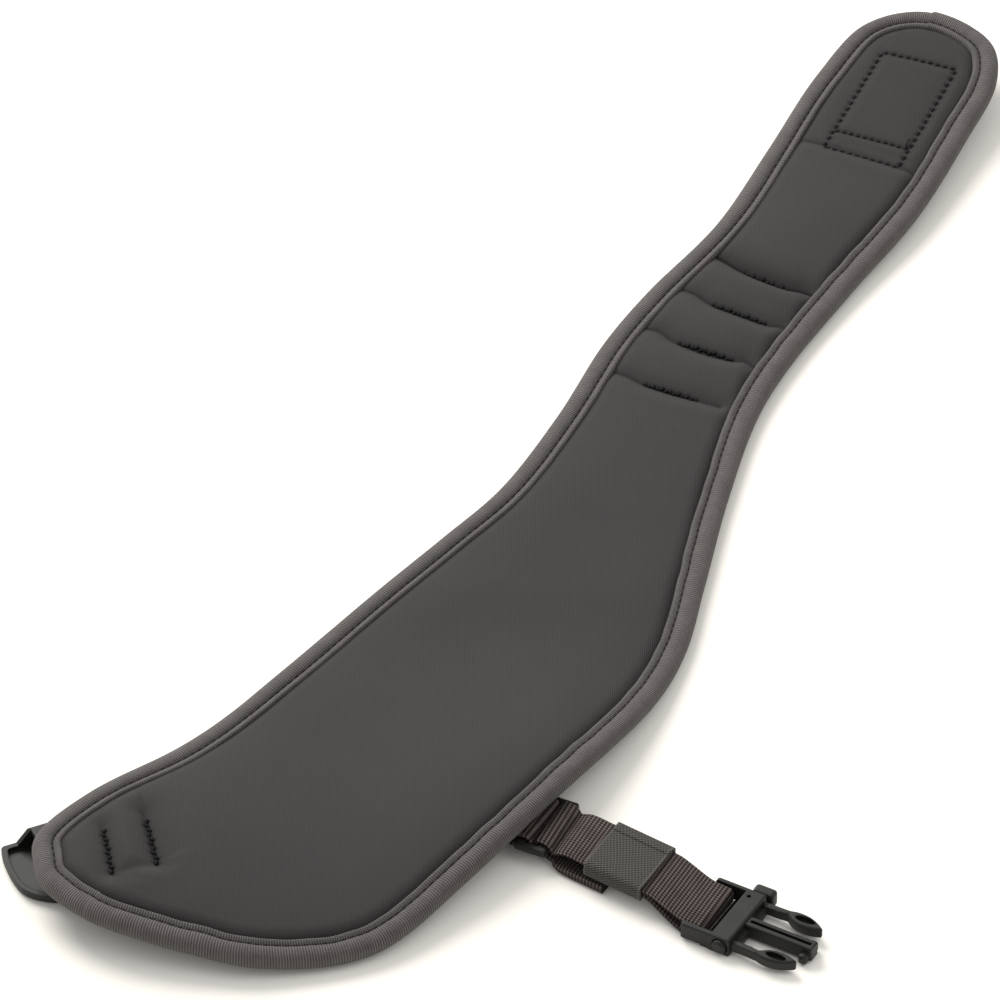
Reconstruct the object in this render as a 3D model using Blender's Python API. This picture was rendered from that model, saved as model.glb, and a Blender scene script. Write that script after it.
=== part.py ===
"""Camera neck strap: a padded shoulder piece bound in ribbed tape, with a side strap that ends in
a quick-release buckle half, and the matching socket half under the wide end of the pad.

The pad's length lies along X with the wide end at low X, and the side strap runs towards low Y.
Metres, +Z up, standing on z = 0, with the origin below the middle of the whole strap."""
import math

import bmesh
import bpy
import numpy as np
from mathutils import Matrix, Vector

# Pad and its bound edge
PAD_LENGTH = 0.516
PAD_WIDTH = 0.100
PAD_THICKNESS = 0.008
PAD_EDGE_THICKNESS = 0.003
PAD_EDGE_HEIGHT = 0.0034
CROWN_RUN = 0.020
EDGE_ROLL = 0.55
EDGE_ROLL_RUN = 0.0042
CROWN_MARGIN = 0.0022
UNDERSIDE_RISE = 0.0019
BINDING_WALL = 0.001
BINDING_COVER = 0.0085
FIT_GAP = 0.0004
PAD_INSET = 0.0020
PAD_STATION = 0.0088
FINE_STATION = 0.0030
BINDING_STATION = 0.0128

# How high the pad's underside is carried above the ground
SOCKET_LIFT = 0.0105
SIDE_LIFT = 0.0092
NARROW_LIFT = 0.011
SIDE_LIFT_INSET = 0.006
SOCKET_LIFT_X = 0.0407 * PAD_LENGTH
SOCKET_LIFT_Y = -0.22 * PAD_WIDTH
LIFT_REACH = 0.095
NARROW_LIFT_START = 0.70

# Side strap
WEBBING_WIDTH = 0.020
WEBBING_THICKNESS = 0.0014
STRAP_ALONG = 0.230
STRAP_ACROSS = -1.190
STRAP_PROUD = 0.0055
STRAP_X = STRAP_ALONG * PAD_LENGTH
STRAP_Y = STRAP_ACROSS * PAD_WIDTH - STRAP_PROUD
STRAP_TURN = math.radians(5)
SLIDER_TURN = math.radians(9)
STRAP_RUN = 0.0563
TOP_LAYER_HEIGHT = 0.0073
TAIL_HEIGHT = 0.0024
TAIL_SHIFT = 0.0015
KEEPER_LENGTH = 0.0202
KEEPER_START = 0.0162
KEEPER_WALL = 0.001

# Rounding of the moulded pieces' edges
PLASTIC_ROUND = 0.0007

# Slider at the pad's edge
SLIDER_WIDTH = 0.0250
SLIDER_LENGTH = 0.0103
SLIDER_THICKNESS = 0.0026
SLIDER_HEIGHT = 0.0056
SLIDER_BAR = 0.0030
ANCHOR_LENGTH = 0.046
ANCHOR_RETURN = 0.007

# Buckle half with the prongs
BUCKLE_WIDTH = 0.0240
BUCKLE_LENGTH = 0.0167
BUCKLE_HEIGHT = 0.0065
BUCKLE_RAIL = 0.0016
RAIL_RELIEF = 0.0011
BUCKLE_NOSE = 0.0064
NOSE_WEB = 0.0038
NOSE_WEB_HEIGHT = 0.0009
NOSE_STEP = 0.0016
BUCKLE_BAR = 0.0030
BUCKLE_BAR_HEIGHT = 0.0022
BUCKLE_BAR_SETBACK = 0.0033
BUCKLE_SHIFT = -0.0021
PRONG_REACH = 0.0206
ARM_WIDTH = 0.0022
ARM_HEIGHT = 0.0034
HEAD_HEIGHT = 0.0038
GUIDE_REACH = 0.0226
GUIDE_WIDTH = 0.0042
GUIDE_HEIGHT = 0.0050
GUIDE_GROOVE = 0.0011
GUIDE_FOOT_WIDTH = 0.0088
PIN_HOLE = 0.0013

# Lock that slides across the buckle's nose
LOCK_HEAD_PROUD = 0.0040
LOCK_HEAD_LENGTH = 0.0072
LOCK_HEAD_SHIFT = 0.0012
LOCK_HEAD_HEIGHT = 0.0056
LOCK_SHAFT_LENGTH = 0.0036
LOCK_SHAFT_HEIGHT = 0.0032
LOCK_BUTTON_SIZE = 0.0048
LOCK_BUTTON_DEPTH = 0.0030
LOCK_BUTTON_PROUD = 0.0013
LOCK_TRAVEL = 0.0016
CLEARANCE = 0.0003

# Socket half under the wide end
SOCKET_WIDTH = 0.0282
SOCKET_LENGTH = 0.0320
SOCKET_HEIGHT = 0.0080
SOCKET_WALL = 0.0015
SOCKET_MOUTH = 0.0250
SOCKET_SLOT = 0.0037
SOCKET_WEB = 0.0012
SOCKET_LIP_SETBACK = 0.0110
SOCKET_RIM = 0.0030
SOCKET_X = 0.0188 * PAD_LENGTH
SOCKET_Y = -0.011 * PAD_WIDTH
SOCKET_TURN = math.radians(149)
SOCKET_BAR = 0.0028
SOCKET_TAB_LENGTH = 0.034
SEWN_GAP = 0.0005

# Outline of the bound pad, a row for each section from the wide end to the narrow end:
# distance along as a share of PAD_LENGTH, then both edges as shares of PAD_WIDTH
SECTIONS = (
    # along, far edge, near edge
    (0.006, -0.168, -0.520),
    (0.018, -0.094, -0.690),
    (0.035, -0.032, -0.865),
    (0.085, -0.036, -1.100),
    (0.155, -0.098, -1.175),
    (0.252, -0.127, -1.200),
    (0.349, -0.148, -1.165),
    (0.407, -0.166, -1.092),
    (0.465, -0.178, -0.962),
    (0.543, -0.120, -0.782),
    (0.620, -0.031, -0.632),
    (0.678, 0.001, -0.570),
    (0.756, 0.010, -0.533),
    (0.833, 0.077, -0.512),
    (0.911, 0.147, -0.442),
    (0.965, 0.148, -0.378),
    (0.992, 0.040, -0.275),
)
WIDE_TIP = (0.0, -0.350)
NARROW_TIP = (1.0, -0.110)

# Sewn dents and creases in the pad's face: both ends as shares of PAD_LENGTH and PAD_WIDTH,
# depth as a share of PAD_THICKNESS, half-width as a share of PAD_LENGTH
DENTS = (
    # along 1, across 1, along 2, across 2, depth, spread
    (0.0600, -0.190, 0.0325, -0.335, 0.24, 0.0075),
    (0.0840, -0.260, 0.0555, -0.410, 0.28, 0.0075),
    (0.5970, -0.250, 0.6050, -0.450, 0.30, 0.0085),
    (0.5950, -0.130, 0.6070, -0.500, 0.12, 0.0070),
    (0.6430, -0.230, 0.6500, -0.430, 0.32, 0.0085),
    (0.6410, -0.110, 0.6520, -0.480, 0.14, 0.0070),
    (0.6870, -0.180, 0.6910, -0.420, 0.32, 0.0080),
    (0.6905, -0.050, 0.6925, -0.500, 0.20, 0.0060),
    (0.7250, -0.050, 0.7285, -0.500, 0.36, 0.0070),
    (0.8515, -0.010, 0.8630, -0.420, 0.26, 0.0065),
    (0.9460, 0.010, 0.9570, -0.245, 0.10, 0.0060),
    (0.8560, -0.075, 0.9460, 0.010, 0.10, 0.0060),
    (0.8640, -0.340, 0.9570, -0.245, 0.10, 0.0060),
)

# Course of the strap's webbing, from the tail's hem, over the slider's front bar, along the top to
# the buckle's bar and back below: distance from the slider as a share of STRAP_RUN, height as a
# share of TOP_LAYER_HEIGHT, thickness as a share of WEBBING_THICKNESS
STRAP_COURSE = (
    # along, height, thickness
    (0.410, 0.200, 2.05),
    (0.380, 0.200, 2.05),
    (0.170, 0.205, 2.05),
    (0.115, 0.225, 1.50),
    (0.060, 0.330, 1.00),
    (0.000, 0.440, 1.00),
    (-0.034, 0.455, 1.00),
    (-0.052, 0.600, 1.00),
    (-0.052, 0.800, 1.00),
    (-0.040, 1.030, 1.00),
    (0.000, 1.090, 1.00),
    (0.038, 1.010, 1.00),
    (0.063, 0.770, 1.00),
    (0.092, 0.860, 1.00),
    (0.135, 0.990, 1.00),
    (0.280, 1.000, 1.00),
    (0.460, 1.000, 1.00),
    (0.640, 1.000, 1.00),
    (0.760, 0.930, 1.00),
    (0.880, 0.800, 1.00),
)
STRAP_RETURN = (
    # along, height, thickness
    (0.920, 0.160, 1.00),
    (0.840, 0.300, 1.00),
    (0.740, 0.560, 1.00),
    (0.660, 0.767, 1.00),
    (0.500, 0.767, 1.00),
    (0.320, 0.767, 1.00),
)

# Plan of the socket's lip, as shares of SOCKET_WIDTH from its middle line and of SOCKET_LENGTH back
# from its foremost point
SOCKET_LIP = (
    # across, setback
    (0.500, 0.075),
    (0.470, 0.045),
    (0.180, 0.003),
    (-0.015, 0.000),
    (-0.200, 0.022),
    (-0.320, 0.085),
    (-0.410, 0.170),
    (-0.475, 0.260),
    (-0.500, 0.360),
)

# Half of a prong's leaf-shaped head: distance along as a share of PRONG_REACH, and its outer and
# inner edges as shares of half the buckle's width
PRONG_HEAD = (
    # along, outer edge, inner edge
    (0.42, 0.920, 0.740),
    (0.50, 0.960, 0.640),
    (0.60, 0.975, 0.560),
    (0.72, 0.955, 0.535),
    (0.84, 0.885, 0.550),
    (0.94, 0.790, 0.600),
    (1.00, 0.710, 0.640),
)


def clear_scene():
    for item in list(bpy.data.objects):
        bpy.data.objects.remove(item, do_unlink=True)


def make_material(name, colour, roughness, metallic=0.0):
    material = bpy.data.materials.new(name)
    material.use_nodes = True
    shader = material.node_tree.nodes["Principled BSDF"]
    shader.inputs["Base Color"].default_value = (*colour, 1.0)
    shader.inputs["Roughness"].default_value = roughness
    shader.inputs["Metallic"].default_value = metallic
    return material


def mesh_object(name, vertices, faces, material, sharp_angle=40):
    """An object whose faces all point out of one closed body."""
    mesh = bpy.data.meshes.new(name)
    mesh.from_pydata([tuple(v) for v in vertices], [], [tuple(f) for f in faces])
    shape = bmesh.new()
    shape.from_mesh(mesh)
    bmesh.ops.recalc_face_normals(shape, faces=shape.faces)
    if shape.calc_volume(signed=True) < 0:
        bmesh.ops.reverse_faces(shape, faces=shape.faces)
    shape.to_mesh(mesh)
    shape.free()
    mesh.materials.append(material)
    mesh.shade_smooth()
    mesh.set_sharp_from_angle(angle=math.radians(sharp_angle))
    result = bpy.data.objects.new(name, mesh)
    bpy.context.collection.objects.link(result)
    return result


def tube(rings):
    """Vertices and faces of a closed skin over rings of equal length, with both ends filled."""
    count = len(rings[0])
    vertices = [point for ring in rings for point in ring]
    faces = []
    for i in range(len(rings) - 1):
        for j in range(count):
            k = (j + 1) % count
            faces.append((i * count + j, i * count + k, (i + 1) * count + k, (i + 1) * count + j))
    faces.append(tuple(range(count)))
    faces.append(tuple((len(rings) - 1) * count + j for j in range(count)))
    return vertices, faces


def ring_tube(rings):
    """Vertices and faces of a skin over rings that close on themselves, like a tyre."""
    count = len(rings[0])
    total = len(rings)
    vertices = [point for ring in rings for point in ring]
    faces = []
    for i in range(total):
        n = (i + 1) % total
        for j in range(count):
            k = (j + 1) % count
            faces.append((i * count + j, i * count + k, n * count + k, n * count + j))
    return vertices, faces


def curve_through(points, steps, closed=False):
    """A smooth curve through points of any dimension, with steps pieces between neighbours."""
    points = np.asarray(points, dtype=float)
    count = len(points)
    result = []
    spans = count if closed else count - 1
    for i in range(spans):
        if closed:
            a, b, c, d = (points[(i + k) % count] for k in (-1, 0, 1, 2))
        else:
            b, c = points[i], points[i + 1]
            a = points[i - 1] if i > 0 else 2 * b - c
            d = points[i + 2] if i + 2 < count else 2 * c - b
        knots = [0.0]
        for p, q in ((a, b), (b, c), (c, d)):
            knots.append(knots[-1] + max(np.linalg.norm(q[:2] - p[:2]), 1e-9) ** 0.5)
        for u in np.linspace(knots[1], knots[2], steps, endpoint=False):
            ab = a + (b - a) * (u - knots[0]) / (knots[1] - knots[0])
            bc = b + (c - b) * (u - knots[1]) / (knots[2] - knots[1])
            cd = c + (d - c) * (u - knots[2]) / (knots[3] - knots[2])
            abc = ab + (bc - ab) * (u - knots[0]) / (knots[2] - knots[0])
            bcd = bc + (cd - bc) * (u - knots[1]) / (knots[3] - knots[1])
            result.append(abc + (bcd - abc) * (u - knots[1]) / (knots[2] - knots[1]))
    if not closed:
        result.append(points[-1])
    return np.array(result)


def normals_of(loop):
    """Unit vectors across a closed plan curve, pointing to its inside."""
    ahead = np.roll(loop, -1, axis=0) - np.roll(loop, 1, axis=0)
    ahead /= np.linalg.norm(ahead, axis=1)[:, None]
    turned = np.stack([-ahead[:, 1], ahead[:, 0]], axis=1)
    x, y = loop[:, 0], loop[:, 1]
    area = np.sum(x * np.roll(y, -1) - np.roll(x, -1) * y)
    return turned if area > 0 else -turned


def spaced(loop, spacing):
    """The closed curve with points spaced evenly, closer together where it turns sharply."""
    steps = np.linalg.norm(np.roll(loop, -1, axis=0) - loop, axis=1)
    ahead = np.roll(loop, -1, axis=0) - loop
    heading = np.arctan2(ahead[:, 1], ahead[:, 0])
    turning = np.abs((np.roll(heading, -1) - heading + math.pi) % (2 * math.pi) - math.pi)
    weight = np.concatenate([[0.0], np.cumsum(steps / spacing + turning / math.radians(13))])
    count = int(round(weight[-1]))
    places = np.linspace(0.0, weight[-1], count, endpoint=False)
    closed = np.vstack([loop, loop[:1]])
    return np.stack([np.interp(places, weight, closed[:, k]) for k in (0, 1)], axis=1)


def pad_outline():
    """Outer edge of the bound pad in plan: the far edge out and the near edge back."""
    rows = [WIDE_TIP]
    rows += [(along, far) for along, far, near in SECTIONS]
    rows += [NARROW_TIP]
    rows += [(along, near) for along, far, near in reversed(SECTIONS)]
    points = [(along * PAD_LENGTH, across * PAD_WIDTH) for along, across in rows]
    return curve_through(points, 16, closed=True)


def swell(distance):
    """1 at no distance, falling smoothly to 0 at LIFT_REACH."""
    share = np.minimum(distance / LIFT_REACH, 1.0)
    return 0.5 * (1.0 + np.cos(math.pi * share))


def lift(x, y):
    """Height of the pad's underside above the ground."""
    from_socket = np.hypot(x - SOCKET_LIFT_X, y - SOCKET_LIFT_Y)
    from_slider = np.hypot(x - STRAP_X, y - STRAP_Y - SIDE_LIFT_INSET)
    start = NARROW_LIFT_START * PAD_LENGTH
    rise = np.clip((x - start) / (PAD_LENGTH - start), 0.0, None)
    return SOCKET_LIFT * swell(from_socket) + SIDE_LIFT * swell(from_slider) + NARROW_LIFT * rise ** 1.6


def distance_to(loop, points):
    """Least distance from each point to a closed plan curve."""
    start = loop[None, :, :]
    span = np.roll(loop, -1, axis=0)[None, :, :] - start
    offset = points[:, None, :] - start
    share = np.clip(np.sum(offset * span, axis=2) / np.sum(span * span, axis=2), 0.0, 1.0)
    return np.sqrt(np.sum((offset - share[:, :, None] * span) ** 2, axis=2)).min(axis=1)


def dent_depth(x, y):
    """How far the stitches pull the pad's face in at a place."""
    depth = np.zeros_like(x)
    for along_1, across_1, along_2, across_2, share, spread in DENTS:
        first = np.array([along_1 * PAD_LENGTH, across_1 * PAD_WIDTH])
        last = np.array([along_2 * PAD_LENGTH, across_2 * PAD_WIDTH])
        span = last - first
        place = ((x - first[0]) * span[0] + (y - first[1]) * span[1]) / span.dot(span)
        place = np.clip(place, 0.0, 1.0)
        away = np.hypot(x - first[0] - place * span[0], y - first[1] - place * span[1])
        dent = share * PAD_THICKNESS * np.exp(-(away / (spread * PAD_LENGTH)) ** 2)
        depth = np.maximum(depth, dent)
    return depth


def pad_heights(x, y, edge_distance):
    """Top and underside of the pad at places a known distance inside its own edge."""
    half_edge = PAD_EDGE_THICKNESS / 2
    rounding = np.clip(edge_distance / (half_edge * 0.8), 0.0, 1.0)
    half = half_edge * (0.4 + 0.6 * np.sqrt(rounding * (2.0 - rounding)))
    start = BINDING_COVER - PAD_INSET + CROWN_MARGIN
    near = np.clip((edge_distance - start) / EDGE_ROLL_RUN, 0.0, 1.0)
    wide = np.clip((edge_distance - start) / CROWN_RUN, 0.0, 1.0)
    crown = EDGE_ROLL * (1.0 - (1.0 - near) ** 2) + (1.0 - EDGE_ROLL) * (1.0 - (1.0 - wide) ** 2)
    crown_height = PAD_THICKNESS - PAD_EDGE_HEIGHT - half_edge
    ground = lift(x, y)
    top = ground + PAD_EDGE_HEIGHT + half + crown * crown_height - crown * dent_depth(x, y)
    underside = ground + PAD_EDGE_HEIGHT - half - crown * UNDERSIDE_RISE
    return top, underside


def pad_stations(loop):
    """Places of the pad's cross-sections: close together at the ends and at the dents."""
    low, high = loop[:, 0].min(), loop[:, 0].max()
    ends = (0.02, 0.10, 0.28, 0.60, 1.5, 2.5)
    places = [low + share * PAD_STATION for share in ends]
    places += [high - share * PAD_STATION for share in ends]
    places += list(np.arange(low + PAD_STATION, high - 0.7 * PAD_STATION, PAD_STATION))
    for along_1, across_1, along_2, across_2, share, spread in DENTS:
        middle = (along_1 + along_2) / 2 * PAD_LENGTH
        if abs(along_2 - along_1) < 0.03:
            places += [middle - FINE_STATION, middle, middle + FINE_STATION]
    kept = []
    for place in sorted(places):
        near_end = min(place - low, high - place) < PAD_STATION
        if not kept or near_end or place - kept[-1] > 0.6 * FINE_STATION:
            kept.append(place)
    return kept


def make_pad(material):
    """The padded body: two skins that meet at a thin edge inside the binding."""
    outer = pad_outline()
    loop = outer + normals_of(outer) * PAD_INSET
    tip, toe = int(loop[:, 0].argmin()), int(loop[:, 0].argmax())
    order = np.roll(np.arange(len(loop)), -tip)
    split = int(np.where(order == toe)[0][0])
    far, near = loop[order[:split + 1]], loop[order[split:]][::-1]
    near = np.vstack([loop[tip][None, :], near]) if near[0, 0] > loop[tip, 0] else near
    cover = BINDING_COVER - PAD_INSET + CROWN_MARGIN
    rim = (0.0, 0.4 * PAD_EDGE_THICKNESS / 2, PAD_EDGE_THICKNESS / 2)
    rings = []
    for x in pad_stations(loop):
        top_y = np.interp(x, far[:, 0], far[:, 1])
        low_y = np.interp(x, near[:, 0], near[:, 1])
        width = top_y - low_y
        inset = min(cover, width * 0.25)
        roll = min(cover + EDGE_ROLL_RUN, width * 0.36)
        inner = np.concatenate([[inset], np.linspace(roll, width - roll, 9), [width - inset]])
        scale = min(1.0, width * 0.12 / rim[-1])
        sides = [r * scale for r in rim]
        across = np.concatenate([sides, inner, [width - s for s in reversed(sides)]])
        below = np.concatenate([sides[1:], np.linspace(inset, width - inset, 5),
                                [width - s for s in reversed(sides[1:])]])
        place_top = np.stack([np.full(len(across), x), top_y - across], axis=1)
        place_low = np.stack([np.full(len(below), x), top_y - below], axis=1)[::-1]
        top, _ = pad_heights(place_top[:, 0], place_top[:, 1], distance_to(loop, place_top))
        _, under = pad_heights(place_low[:, 0], place_low[:, 1], distance_to(loop, place_low))
        top[0] = top[-1] = 0.0
        for end in (0, -1):
            top[end] = lift(place_top[end, 0], place_top[end, 1]) + PAD_EDGE_HEIGHT
        ring = [(p[0], p[1], z) for p, z in zip(place_top, top)]
        ring += [(p[0], p[1], z) for p, z in zip(place_low, under)]
        rings.append(ring)
    vertices, faces = tube(rings)
    return mesh_object("pad", vertices, faces, material, 60)


def binding_profile():
    """Cross-section of the tape folded round the edge: (inwards, up from the edge's middle)."""
    half_pad = PAD_EDGE_THICKNESS / 2
    inner = half_pad + FIT_GAP
    outer = inner + BINDING_WALL
    middle = outer
    cover = BINDING_COVER
    points = [(cover, outer * 0.90), (cover * 0.62, outer * 0.84), (cover * 0.52, outer)]
    for degrees in (90, 42, 0, -42, -90):
        angle = math.radians(degrees)
        points.append((middle - outer * math.cos(angle), outer * math.sin(angle)))
    points.append((cover, -outer * 0.92))
    points.append((cover, -inner))
    for degrees in (-90, -35, 35, 90):
        angle = math.radians(degrees)
        points.append((middle - inner * math.cos(angle), inner * math.sin(angle)))
    points.append((cover, inner))
    return points


def make_binding(material):
    """Ribbed tape folded round the whole edge of the pad, as one closed loop."""
    outer = spaced(pad_outline(), BINDING_STATION)
    inward = normals_of(outer)
    profile = binding_profile()
    rings = []
    for point, normal in zip(outer, inward):
        ring = []
        for depth, height in profile:
            x, y = point + normal * depth
            ring.append((x, y, lift(x, y) + PAD_EDGE_HEIGHT + height))
        rings.append(ring)
    vertices, faces = ring_tube(rings)
    return mesh_object("edge_binding", vertices, faces, material, 50)


def webbing_ring(centre, across, along, width, thickness):
    """Eight corners of a flat webbing's cross-section, with its edges slightly rounded."""
    up = across.cross(along).normalized()
    half_width, half_height = width / 2, thickness / 2
    shave = half_height * 0.55
    corners = ((half_width - shave, half_height), (half_width, half_height - shave),
               (half_width, shave - half_height), (half_width - shave, -half_height),
               (shave - half_width, -half_height), (-half_width, shave - half_height),
               (-half_width, half_height - shave), (shave - half_width, half_height))
    return [centre + across * a + up * b for a, b in corners]


def buckle_frame():
    """Where the buckle half lies: its rear edge's middle, with +Y along its prongs."""
    turn = math.pi + STRAP_TURN
    place = Vector((STRAP_X + BUCKLE_SHIFT, STRAP_Y - STRAP_RUN + BUCKLE_BAR_SETBACK, 0.0))
    return Matrix.Translation(place) @ Matrix.Rotation(turn, 4, "Z")


def loop_round(bar_length, bar_height):
    """Middle line of webbing folded round a bar, from below to above: outwards and up."""
    out = bar_length / 2 + 1.5 * CLEARANCE + WEBBING_THICKNESS / 2
    up = bar_height / 2 + 1.5 * CLEARANCE + WEBBING_THICKNESS / 2
    rows = []
    for degrees in range(-90, 91, 30):
        angle = math.radians(degrees)
        rise = math.copysign(abs(math.sin(angle)) ** 0.5, math.sin(angle))
        rows.append((out * abs(math.cos(angle)) ** 0.5, up * rise))
    return rows


def strap_course():
    """Middle line of the strap's webbing as rows of distance, height and thickness."""
    rows = [(a * STRAP_RUN, h * TOP_LAYER_HEIGHT, t * WEBBING_THICKNESS) for a, h, t in STRAP_COURSE]
    turn = loop_round(BUCKLE_BAR, BUCKLE_BAR_HEIGHT)
    rows += [(STRAP_RUN + out, bar_middle_height() + up, WEBBING_THICKNESS) for out, up in turn[::-1]]
    rows += [(a * STRAP_RUN, h * TOP_LAYER_HEIGHT, t * WEBBING_THICKNESS) for a, h, t in STRAP_RETURN]
    return curve_through(rows, 2)


def bar_middle_height():
    """Height of the buckle's rear bar, low enough for the webbing to pass round it."""
    return BUCKLE_BAR_HEIGHT / 2 + 2 * CLEARANCE + WEBBING_THICKNESS


def strap_slip(along):
    """Sideways shift of the strap's middle, which follows the turned buckle near its end."""
    at_bar = BUCKLE_SHIFT + BUCKLE_BAR_SETBACK * math.sin(STRAP_TURN)
    drift = 0.07 * STRAP_RUN * math.tan(STRAP_TURN)
    places = (0.70 * STRAP_RUN, 0.93 * STRAP_RUN, 1.07 * STRAP_RUN)
    return float(np.interp(along, places, (0.0, at_bar - drift, at_bar + drift)))


def make_strap(material):
    rows = strap_course()
    rings = []
    for i, (along, height, thickness) in enumerate(rows):
        before = rows[max(i - 1, 0)]
        after = rows[min(i + 1, len(rows) - 1)]
        heading = Vector((0.0, -(after[0] - before[0]), after[1] - before[1])).normalized()
        share = min(max(along / STRAP_RUN, 0.0), 1.0)
        turn = SLIDER_TURN + (STRAP_TURN - SLIDER_TURN) * min(share * 3, 1.0)
        tail = along < STRAP_RUN / 2 and height < TAIL_HEIGHT
        aside = -TAIL_SHIFT * min(share * 8, 1.0) if tail else strap_slip(along)
        centre = Vector((STRAP_X + aside, STRAP_Y - along, height))
        across = Vector((math.cos(turn), math.sin(turn), 0.0))
        flat = Vector((1.0, 0.0, 0.0))
        up = flat.cross(heading).normalized()
        half_width, half_height = WEBBING_WIDTH / 2, thickness / 2
        shave = WEBBING_THICKNESS * 0.28
        ring = []
        for a, b in ((half_width - shave, half_height), (half_width, half_height - shave),
                     (half_width, shave - half_height), (half_width - shave, -half_height),
                     (shave - half_width, -half_height), (-half_width, shave - half_height),
                     (-half_width, half_height - shave), (shave - half_width, half_height)):
            ring.append(centre + across * a + up * b)
        rings.append(ring)
    vertices, faces = tube(rings)
    return mesh_object("strap_webbing", vertices, faces, material, 50)


def make_keeper(material):
    """Elastic loop that holds the strap's two layers together."""
    lower = 0.767 * TOP_LAYER_HEIGHT - WEBBING_THICKNESS / 2 - CLEARANCE
    upper = TOP_LAYER_HEIGHT + WEBBING_THICKNESS / 2 + CLEARANCE
    middle, half = (lower + upper) / 2, (upper - lower) / 2
    side = WEBBING_WIDTH / 2 + CLEARANCE
    profiles = []
    for grow in (0.0, KEEPER_WALL):
        radius = half * 0.5 + grow
        flat_x, flat_z = side + grow - radius, half + grow - radius
        points = []
        for corner, (sx, sz) in enumerate(((1, 1), (-1, 1), (-1, -1), (1, -1))):
            for step in range(4):
                angle = math.radians(90 * corner + 30 * step)
                points.append((sx * flat_x + radius * math.cos(angle),
                               middle + sz * flat_z + radius * math.sin(angle)))
        profiles.append(points)
    inner, outer = profiles
    count = len(inner)
    ends = (KEEPER_START, KEEPER_START + KEEPER_LENGTH)
    vertices = []
    for along in ends:
        for points in (outer, inner):
            for across, height in points:
                x = STRAP_X + across * math.cos(STRAP_TURN)
                y = STRAP_Y - along + across * math.sin(STRAP_TURN)
                vertices.append((x, y, height))
    faces = []
    for j in range(count):
        k = (j + 1) % count
        out_0, in_0, out_1, in_1 = 0, count, 2 * count, 3 * count
        faces.append((out_0 + j, out_0 + k, out_1 + k, out_1 + j))
        faces.append((in_0 + k, in_0 + j, in_1 + j, in_1 + k))
        faces.append((out_0 + k, out_0 + j, in_0 + j, in_0 + k))
        faces.append((out_1 + j, out_1 + k, in_1 + k, in_1 + j))
    return mesh_object("elastic_keeper", vertices, faces, material, 50)


def block(name, low, high, material=None):
    """A box between two corners."""
    mesh = bpy.data.meshes.new(name)
    shape = bmesh.new()
    bmesh.ops.create_cube(shape, size=1.0)
    size = Vector(high) - Vector(low)
    middle = (Vector(high) + Vector(low)) / 2
    for vertex in shape.verts:
        vertex.co = Vector(vertex.co[k] * size[k] + middle[k] for k in range(3))
    shape.to_mesh(mesh)
    shape.free()
    result = bpy.data.objects.new(name, mesh)
    if material:
        mesh.materials.append(material)
    bpy.context.collection.objects.link(result)
    return result


def prism(name, outline, low, high, material=None):
    """A plan outline raised from one height to another."""
    count = len(outline)
    vertices = [(x, y, low) for x, y in outline] + [(x, y, high) for x, y in outline]
    faces = [tuple(range(count)), tuple(range(count, 2 * count))]
    for j in range(count):
        k = (j + 1) % count
        faces.append((j, k, count + k, count + j))
    mesh = bpy.data.meshes.new(name)
    mesh.from_pydata(vertices, [], faces)
    shape = bmesh.new()
    shape.from_mesh(mesh)
    bmesh.ops.recalc_face_normals(shape, faces=shape.faces)
    shape.to_mesh(mesh)
    shape.free()
    if material:
        mesh.materials.append(material)
    result = bpy.data.objects.new(name, mesh)
    bpy.context.collection.objects.link(result)
    return result


def bevel_edges(target, width, angle=50, segments=1):
    """Round an object's own sharp edges in its mesh."""
    shape = bmesh.new()
    shape.from_mesh(target.data)
    sharp = [e for e in shape.edges if e.calc_face_angle(0.0) > math.radians(angle)]
    bmesh.ops.bevel(shape, geom=sharp, offset=width, segments=segments, affect="EDGES",
                    profile=0.5, clamp_overlap=True)
    shape.to_mesh(target.data)
    shape.free()


def combine(target, tool, operation):
    """Leave a Boolean with a hidden tool on the target."""
    tool.hide_render = True
    tool.display_type = "WIRE"
    modifier = target.modifiers.new(operation.title() + " " + tool.name, "BOOLEAN")
    modifier.operation = operation
    modifier.object = tool
    return tool


def finish_plastic(target, frame, tools):
    target.matrix_world = frame
    for tool in tools:
        tool.matrix_world = frame
    target.data.shade_smooth()
    target.data.set_sharp_from_angle(angle=math.radians(35))
    return [target, *tools]


def make_slider(material):
    """Flat two-bar slider at the pad's edge, its front bar under the strap's fold."""
    low = SLIDER_HEIGHT - SLIDER_THICKNESS / 2
    high = SLIDER_HEIGHT + SLIDER_THICKNESS / 2
    half = SLIDER_WIDTH / 2
    front = SLIDER_BAR / 2
    rear = front - SLIDER_LENGTH
    target = block("slider", (-half, rear, low), (half, front, high), material)
    bevel_edges(target, PLASTIC_ROUND, segments=2)
    slot = WEBBING_WIDTH / 2 + 2 * CLEARANCE
    tool = block("slider_slot", (-slot, rear + SLIDER_BAR, low - SLIDER_THICKNESS),
                 (slot, front - SLIDER_BAR, high + SLIDER_THICKNESS))
    combine(target, tool, "DIFFERENCE")
    frame = Matrix.Translation(Vector((STRAP_X, STRAP_Y, 0.0)))
    frame = frame @ Matrix.Rotation(math.pi + SLIDER_TURN, 4, "Z")
    return finish_plastic(target, frame, [tool])


def anchor_course():
    """Webbing loop from under the pad round the slider's rear bar."""
    bar = SLIDER_LENGTH - SLIDER_BAR
    turn = loop_round(SLIDER_BAR, SLIDER_THICKNESS)
    rows = [(bar + ANCHOR_RETURN, SLIDER_HEIGHT - turn[-1][1] * 0.6)]
    return rows + [(bar - out, SLIDER_HEIGHT + up) for out, up in turn]


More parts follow.
